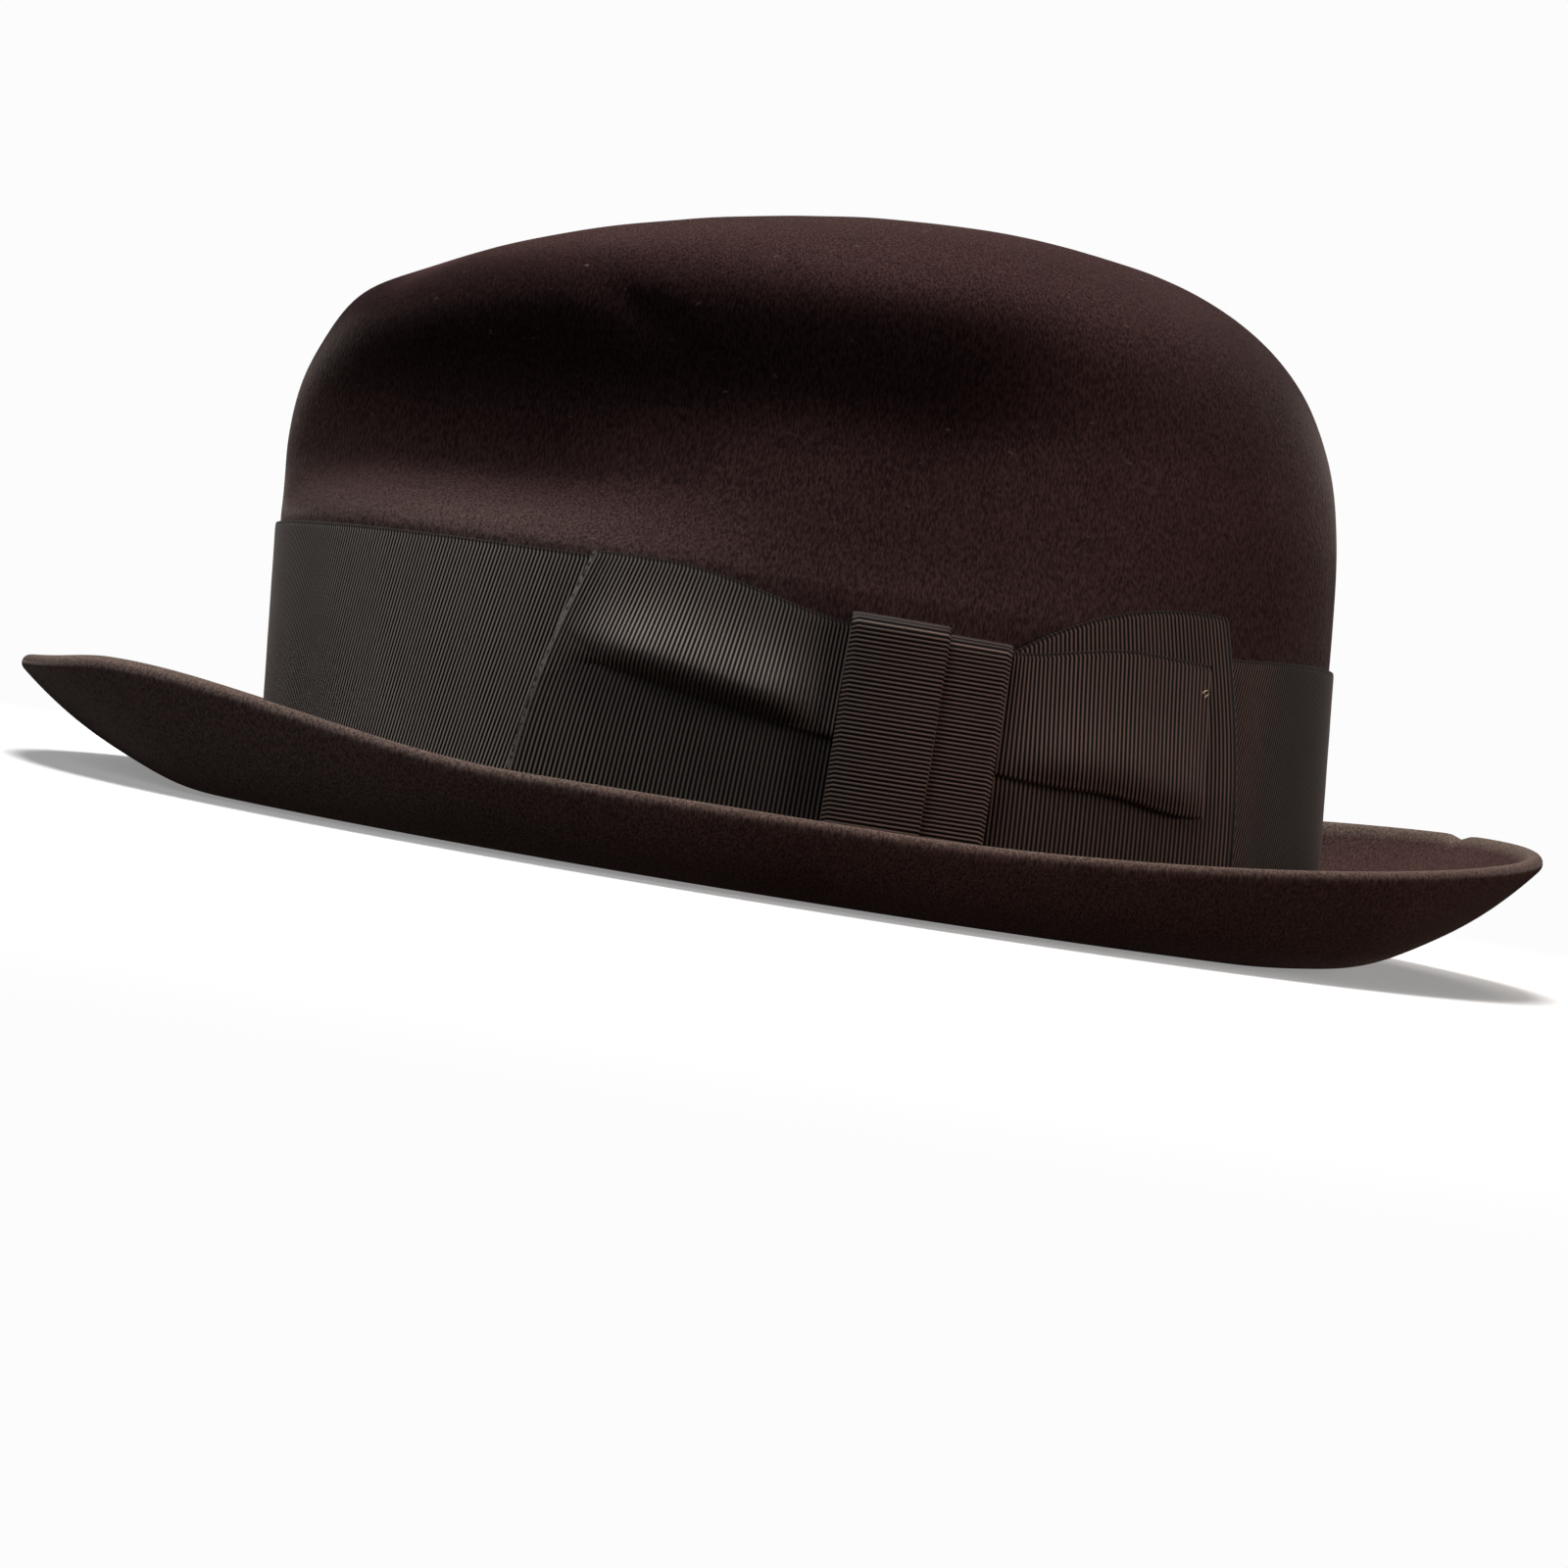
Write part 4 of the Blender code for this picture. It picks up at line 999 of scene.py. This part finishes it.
def new_look(name, roughness, **sockets):
    """Material, its nodes, its shader and the place on the hat; sockets are named with _ for a space."""
    look = bpy.data.materials.new(name)
    look.use_nodes = True
    tree = look.node_tree
    shader = tree.nodes["Principled BSDF"]
    shader.inputs["Roughness"].default_value = roughness
    for key, value in sockets.items():
        shader.inputs[key.replace("_", " ")].default_value = value
    return look, tree, shader, add_node(tree, "TexCoord").outputs["Object"]


def mix_colours(tree, share, first, second, blend="MIX"):
    """Second colour over the first one."""
    inputs = {0: share, 6: first, 7: second}
    return add_node(tree, "Mix", inputs, data_type="RGBA", blend_type=blend).outputs[2]


def mix_shaders(tree, share, first, second):
    """Second shader over the first one."""
    return add_node(tree, "MixShader", {0: share, 1: first, 2: second}).outputs[0]


def ramp(tree, value, low, high):
    """Share from 0 at low to 1 at high of a value, with an easy curve between them."""
    inputs = {"Value": value, "From Min": low, "From Max": high}
    return add_node(tree, "MapRange", inputs, interpolation_type="SMOOTHSTEP").outputs["Result"]


def slope(tree, value, low, high, first, last):
    """Straight run from first, where a value is low, to last, where it is high."""
    inputs = {"Value": value, "From Min": low, "From Max": high, "To Min": first, "To Max": last}
    return add_node(tree, "MapRange", inputs).outputs["Result"]


def maths(tree, operation, first, second):
    """Result of one operation on two values."""
    return add_node(tree, "Math", {0: first, 1: second}, operation=operation).outputs[0]


def times(tree, first, second):
    """Product of two values."""
    return maths(tree, "MULTIPLY", first, second)


def parts(tree, vector):
    """X, Y and Z of a vector."""
    return add_node(tree, "SeparateXYZ", {"Vector": vector}).outputs


def layer(tree, name, output="Fac"):
    """One of the mesh's own vertex layers."""
    return add_node(tree, "Attribute", attribute_name=name).outputs[output]


def cloud(tree, place, scale, detail, roughness=0.5):
    """Noise over a place; three scales stretch it along the axes."""
    if isinstance(scale, tuple):
        place = add_node(tree, "Mapping", {"Vector": place, "Scale": scale}).outputs["Vector"]
        scale = 1.0
    inputs = {"Vector": place, "Scale": scale, "Detail": detail, "Roughness": roughness}
    return add_node(tree, "TexNoise", inputs).outputs["Fac"]


def paint(tree, shader, colour):
    """Use a colour as the shader's own."""
    tree.links.new(colour, shader.inputs["Base Color"])


def bump(tree, shader, height, distance, strength, under=None):
    """Fine relief, over another one where that is given."""
    inputs = {"Height": height, "Distance": distance, "Strength": strength}
    if under is not None:
        inputs["Normal"] = under
    made = add_node(tree, "Bump", inputs)
    tree.links.new(made.outputs["Normal"], shader.inputs["Normal"])
    return made.outputs["Normal"]


def felt_look():
    """Brushed fur felt: mottled brown, a fine nap with pale hairs, paler above the band, painted shade in
    the dents and high on the crown, and a painted highlight on the rim.
    """
    look, tree, shader, place = new_look("felt_brushed", 0.9, Sheen_Weight=0.14, Sheen_Roughness=0.25,
                                         Sheen_Tint=FELT_BLOOM, Specular_IOR_Level=0.0)
    _, y, z = parts(tree, place)
    nap = cloud(tree, place, (2700.0, 2700.0, 800.0), 2.0, 0.6)
    hairs = cloud(tree, place, (700.0, 240.0, 700.0), 2.0)
    mottled = ramp(tree, cloud(tree, place, 26.0, 4.0), 0.35, 0.68)
    base = mix_colours(tree, mottled, FELT_DARK, FELT_LIGHT)
    # Paler, greyer felt just above the band, most at the front.
    pale_low = times(tree, ramp(tree, z, *PALE_LOW_Z), slope(tree, y, *PALE_LOW_Y, 0.06, 0.55))
    base = mix_colours(tree, pale_low, base, FELT_PALE_LOW)
    behind = times(tree, ramp(tree, y, *REAR_Y), ramp(tree, z, *REAR_Z))
    above = times(tree, ramp(tree, y, *TOP_Y), slope(tree, z, *TOP_Z, 0.0, 0.65))
    base = mix_colours(tree, maths(tree, "MAXIMUM", behind, above), base, FELT_SHADED)
    # Painted shade in the crown's dents.
    base = mix_colours(tree, layer(tree, "handled"), base, FELT_DENT_SHADE)
    # Painted highlight along the brim's edge.
    base = mix_colours(tree, layer(tree, "rubbed"), base, FELT_RIM_HIGHLIGHT)
    fleck = mix_colours(tree, ramp(tree, nap, 0.32, 0.70), NAP_ROOTS, NAP_TIPS)
    colour = mix_colours(tree, 1.0, base, fleck, "MULTIPLY")
    paint(tree, shader, mix_colours(tree, ramp(tree, hairs, 0.70, 0.84), colour, FELT_HAIR))
    first = bump(tree, shader, hairs, 0.0002, 0.25)
    bump(tree, shader, nap, 0.0003, 0.6, first)
    return look


def ribbon_look(name, front):
    """Ribbed ribbon: pale ribs over painted shade in the grooves, dark edges and painted shade, a front
    painted as lit, painted warm light towards the back, and worn folds.
    """
    look, tree, shader, place = new_look(name, 0.5, Sheen_Weight=0.04, Sheen_Roughness=0.4,
                                         Sheen_Tint=RIBBON_BLOOM, Specular_IOR_Level=0.05)
    weave = layer(tree, "weave", "Vector")
    ridge = parts(tree, weave)["Z"]
    y = parts(tree, place)["Y"]
    # Painted light: the ribbon is paler towards the front, and half as much so at its very front edge.
    front_lit = times(tree, ramp(tree, y, *FRONT_LIT_Y), slope(tree, y, *FRONT_Y, 1.0, 0.5))
    # Painted warm light towards the back of the bow and the band.
    warm = times(tree, ramp(tree, y, *WARM_LIGHT_Y), ramp(tree, y, *WARM_LIGHT_END_Y))
    high = mix_colours(tree, front_lit, RIBBON_REAR, front)
    high = mix_colours(tree, warm, high, RIBBON_WARM_LIGHT)
    patches = mix_colours(tree, cloud(tree, place, 40.0, 3.0), PATCH_DIM, PATCH_BRIGHT)
    high = mix_colours(tree, 1.0, high, patches, "MULTIPLY")
    # Pale ribs over painted shade in the grooves between them.
    colour = mix_colours(tree, ramp(tree, ridge, 0.46, 0.98), RIBBON_GROOVE_SHADE, high)
    lint = ramp(tree, cloud(tree, place, 1300.0, 2.0), 0.32, 0.62)
    speck = times(tree, ramp(tree, layer(tree, "wear"), 0.10, 1.2), lint)
    colour = mix_colours(tree, speck, colour, RIBBON_WORN)
    # Dark looped edges and painted shade.
    rim = times(tree, ramp(tree, layer(tree, "edge"), 0.30, 0.65), 0.8)
    paint(tree, shader, mix_colours(tree, rim, colour, RIBBON_EDGE_AND_SHADE))
    bump(tree, shader, cloud(tree, weave, (900.0, 7000.0, 0.0), 1.0), 0.00008, 0.5)
    return look


def leather_look():
    """Sweatband leather: mottled warm tan with fine grain and pores."""
    look, tree, shader, place = new_look("leather_sweatband", 0.48, Specular_IOR_Level=0.4)
    mottled = ramp(tree, cloud(tree, place, 32.0, 5.0), 0.3, 0.7)
    grain = add_node(tree, "TexVoronoi", {"Vector": place, "Scale": 1500.0},
                     feature="DISTANCE_TO_EDGE").outputs["Distance"]
    paint(tree, shader, mix_colours(tree, mottled, *LEATHER_COLOURS))
    first = bump(tree, shader, grain, 0.0001, 0.35)
    bump(tree, shader, cloud(tree, place, 700.0, 4.0), 0.0002, 0.3, first)
    return look


def satin_look():
    """Lining satin: a close weave with soft bands of sheen."""
    look, tree, shader, place = new_look("satin_lining", 0.34, Sheen_Weight=0.3, Sheen_Tint=SATIN_BLOOM,
                                         Specular_IOR_Level=0.5)
    mottled = ramp(tree, cloud(tree, place, 18.0, 3.0), 0.3, 0.7)
    paint(tree, shader, mix_colours(tree, mottled, *SATIN_COLOURS))
    bump(tree, shader, cloud(tree, place, (2600.0, 2600.0, 350.0), 2.0), 0.00006, 0.4)
    return look


def thread_look(name, colours, scale, detail, relief, roughness=0.5, sheen=0.2):
    """Spun thread, or the waxed cloth round the reed."""
    look, tree, shader, place = new_look(name, roughness, Sheen_Weight=sheen)
    fibres = cloud(tree, place, scale, detail)
    paint(tree, shader, mix_colours(tree, fibres, *colours))
    bump(tree, shader, fibres, *relief)
    return look


def seen_directly(tree):
    """1 for camera, glossy and transmission rays, 0 for the light that falls on the hat."""
    path = add_node(tree, "LightPath").outputs
    shiny = maths(tree, "MAXIMUM", path["Is Glossy Ray"], path["Is Transmission Ray"])
    return maths(tree, "MAXIMUM", path["Is Camera Ray"], shiny)


def make_stage():
    """Pale floor that keeps the shadow near the hat, runs out to white, and is clear from below."""
    mesh = bpy.data.meshes.new("floor")
    half, level = FLOOR_HALF, FLOOR_LEVEL
    corners = [(-half, -half, level), (half, -half, level), (half, half, level), (-half, half, level)]
    mesh.from_pydata(corners, [], [(0, 1, 2, 3)])
    floor = bpy.data.objects.new("floor", mesh)
    bpy.context.collection.objects.link(floor)
    look = bpy.data.materials.new("floor_pale")
    look.use_nodes = True
    tree = look.node_tree
    tree.nodes.clear()
    place = add_node(tree, "TexCoord").outputs["Object"]
    far = add_node(tree, "VectorMath", {0: place}, operation="LENGTH").outputs["Value"]
    seen = seen_directly(tree)
    paper = add_node(tree, "BsdfDiffuse", {"Color": FLOOR_PAPER}).outputs[0]
    dim = add_node(tree, "BsdfDiffuse", {"Color": FLOOR_DIM}).outputs[0]
    white = add_node(tree, "Emission", {"Color": ROOM_WHITE}).outputs[0]
    glow = add_node(tree, "Emission", {"Color": (1.0, 1.0, 1.0, 1.0), "Strength": FLOOR_GLOW})
    lifted = add_node(tree, "AddShader", {0: paper, 1: glow.outputs[0]}).outputs[0]
    near = mix_shaders(tree, seen, dim, lifted)
    mixed = mix_shaders(tree, times(tree, ramp(tree, far, *FLOOR_FADE), seen), near, white)
    below = add_node(tree, "NewGeometry").outputs["Backfacing"]
    clear = add_node(tree, "BsdfTransparent").outputs[0]
    add_node(tree, "OutputMaterial", {"Surface": mix_shaders(tree, below, mixed, clear)})
    mesh.materials.append(look)
    floor.visible_shadow = False


def make_world():
    """Even room light, white where it is seen directly."""
    world = bpy.data.worlds.new("room")
    bpy.context.scene.world = world
    world.use_nodes = True
    tree = world.node_tree
    tree.nodes.clear()
    room = add_node(tree, "Background", {"Color": ROOM_LIGHT, "Strength": ROOM_LEVEL}).outputs[0]
    white = add_node(tree, "Background", {"Color": ROOM_WHITE, "Strength": 1.0}).outputs[0]
    mixed = mix_shaders(tree, seen_directly(tree), room, white)
    add_node(tree, "OutputWorld", {"Surface": mixed})


def add_lamp(name, place, aim, size, power, colour):
    """Round area lamp that shines from its place towards its aim."""
    lamp = bpy.data.lights.new(name, "AREA")
    lamp.color = colour
    lamp.shape = "DISK"
    lamp.size = size
    lamp.energy = power
    item = bpy.data.objects.new(name, lamp)
    item.location = place
    item.rotation_mode = "QUATERNION"
    item.rotation_quaternion = (Vector(aim) - Vector(place)).to_track_quat("-Z", "Y")
    bpy.context.collection.objects.link(item)


def make_camera():
    """Camera at the photograph's place, turned about its line of sight."""
    back = Vector((math.cos(CAMERA_RISE), 0.0, math.sin(CAMERA_RISE)))
    level = Vector((0.0, 1.0, 0.0))
    above = back.cross(level)
    right = level * math.cos(CAMERA_ROLL) + above * math.sin(CAMERA_ROLL)
    up = above * math.cos(CAMERA_ROLL) - level * math.sin(CAMERA_ROLL)
    camera = bpy.data.cameras.new("camera")
    camera.sensor_width = SENSOR
    camera.lens = FOCAL_PIXELS / FRAME_PIXELS * SENSOR
    camera.clip_start = 0.01
    item = bpy.data.objects.new("camera", camera)
    matrix = Matrix((right, up, back)).transposed().to_4x4()
    matrix.translation = CAMERA_AIM + back * CAMERA_DISTANCE
    item.matrix_world = matrix
    bpy.context.collection.objects.link(item)
    bpy.context.scene.camera = item


def main():
    make_camera()
    make_stage()
    make_world()
    for name, lamp in LAMPS.items():
        add_lamp(name, *lamp)
    ribbon = ribbon_look("ribbon_bow", BOW_FRONT_LIT)
    make_felt(felt_look())
    make_band(ribbon_look("ribbon_band", BAND_FRONT_LIT))
    make_front_loop(ribbon)
    make_tail(ribbon)
    make_rear_loop(ribbon)
    make_knot(ribbon)
    make_tacks(thread_look("thread_tack", TACK_COLOURS, *THREAD_FIBRES))
    make_sweatband(leather_look())
    make_stitching(thread_look("thread_sweatband", STITCH_COLOURS, *THREAD_FIBRES))
    make_reed(thread_look("reed_wrap", REED_COLOURS, *REED_FIBRES, 0.6, 0.0))
    make_inner_bow(ribbon)
    make_lining(satin_look())
    bpy.context.scene.view_settings.view_transform = "Standard"


main()
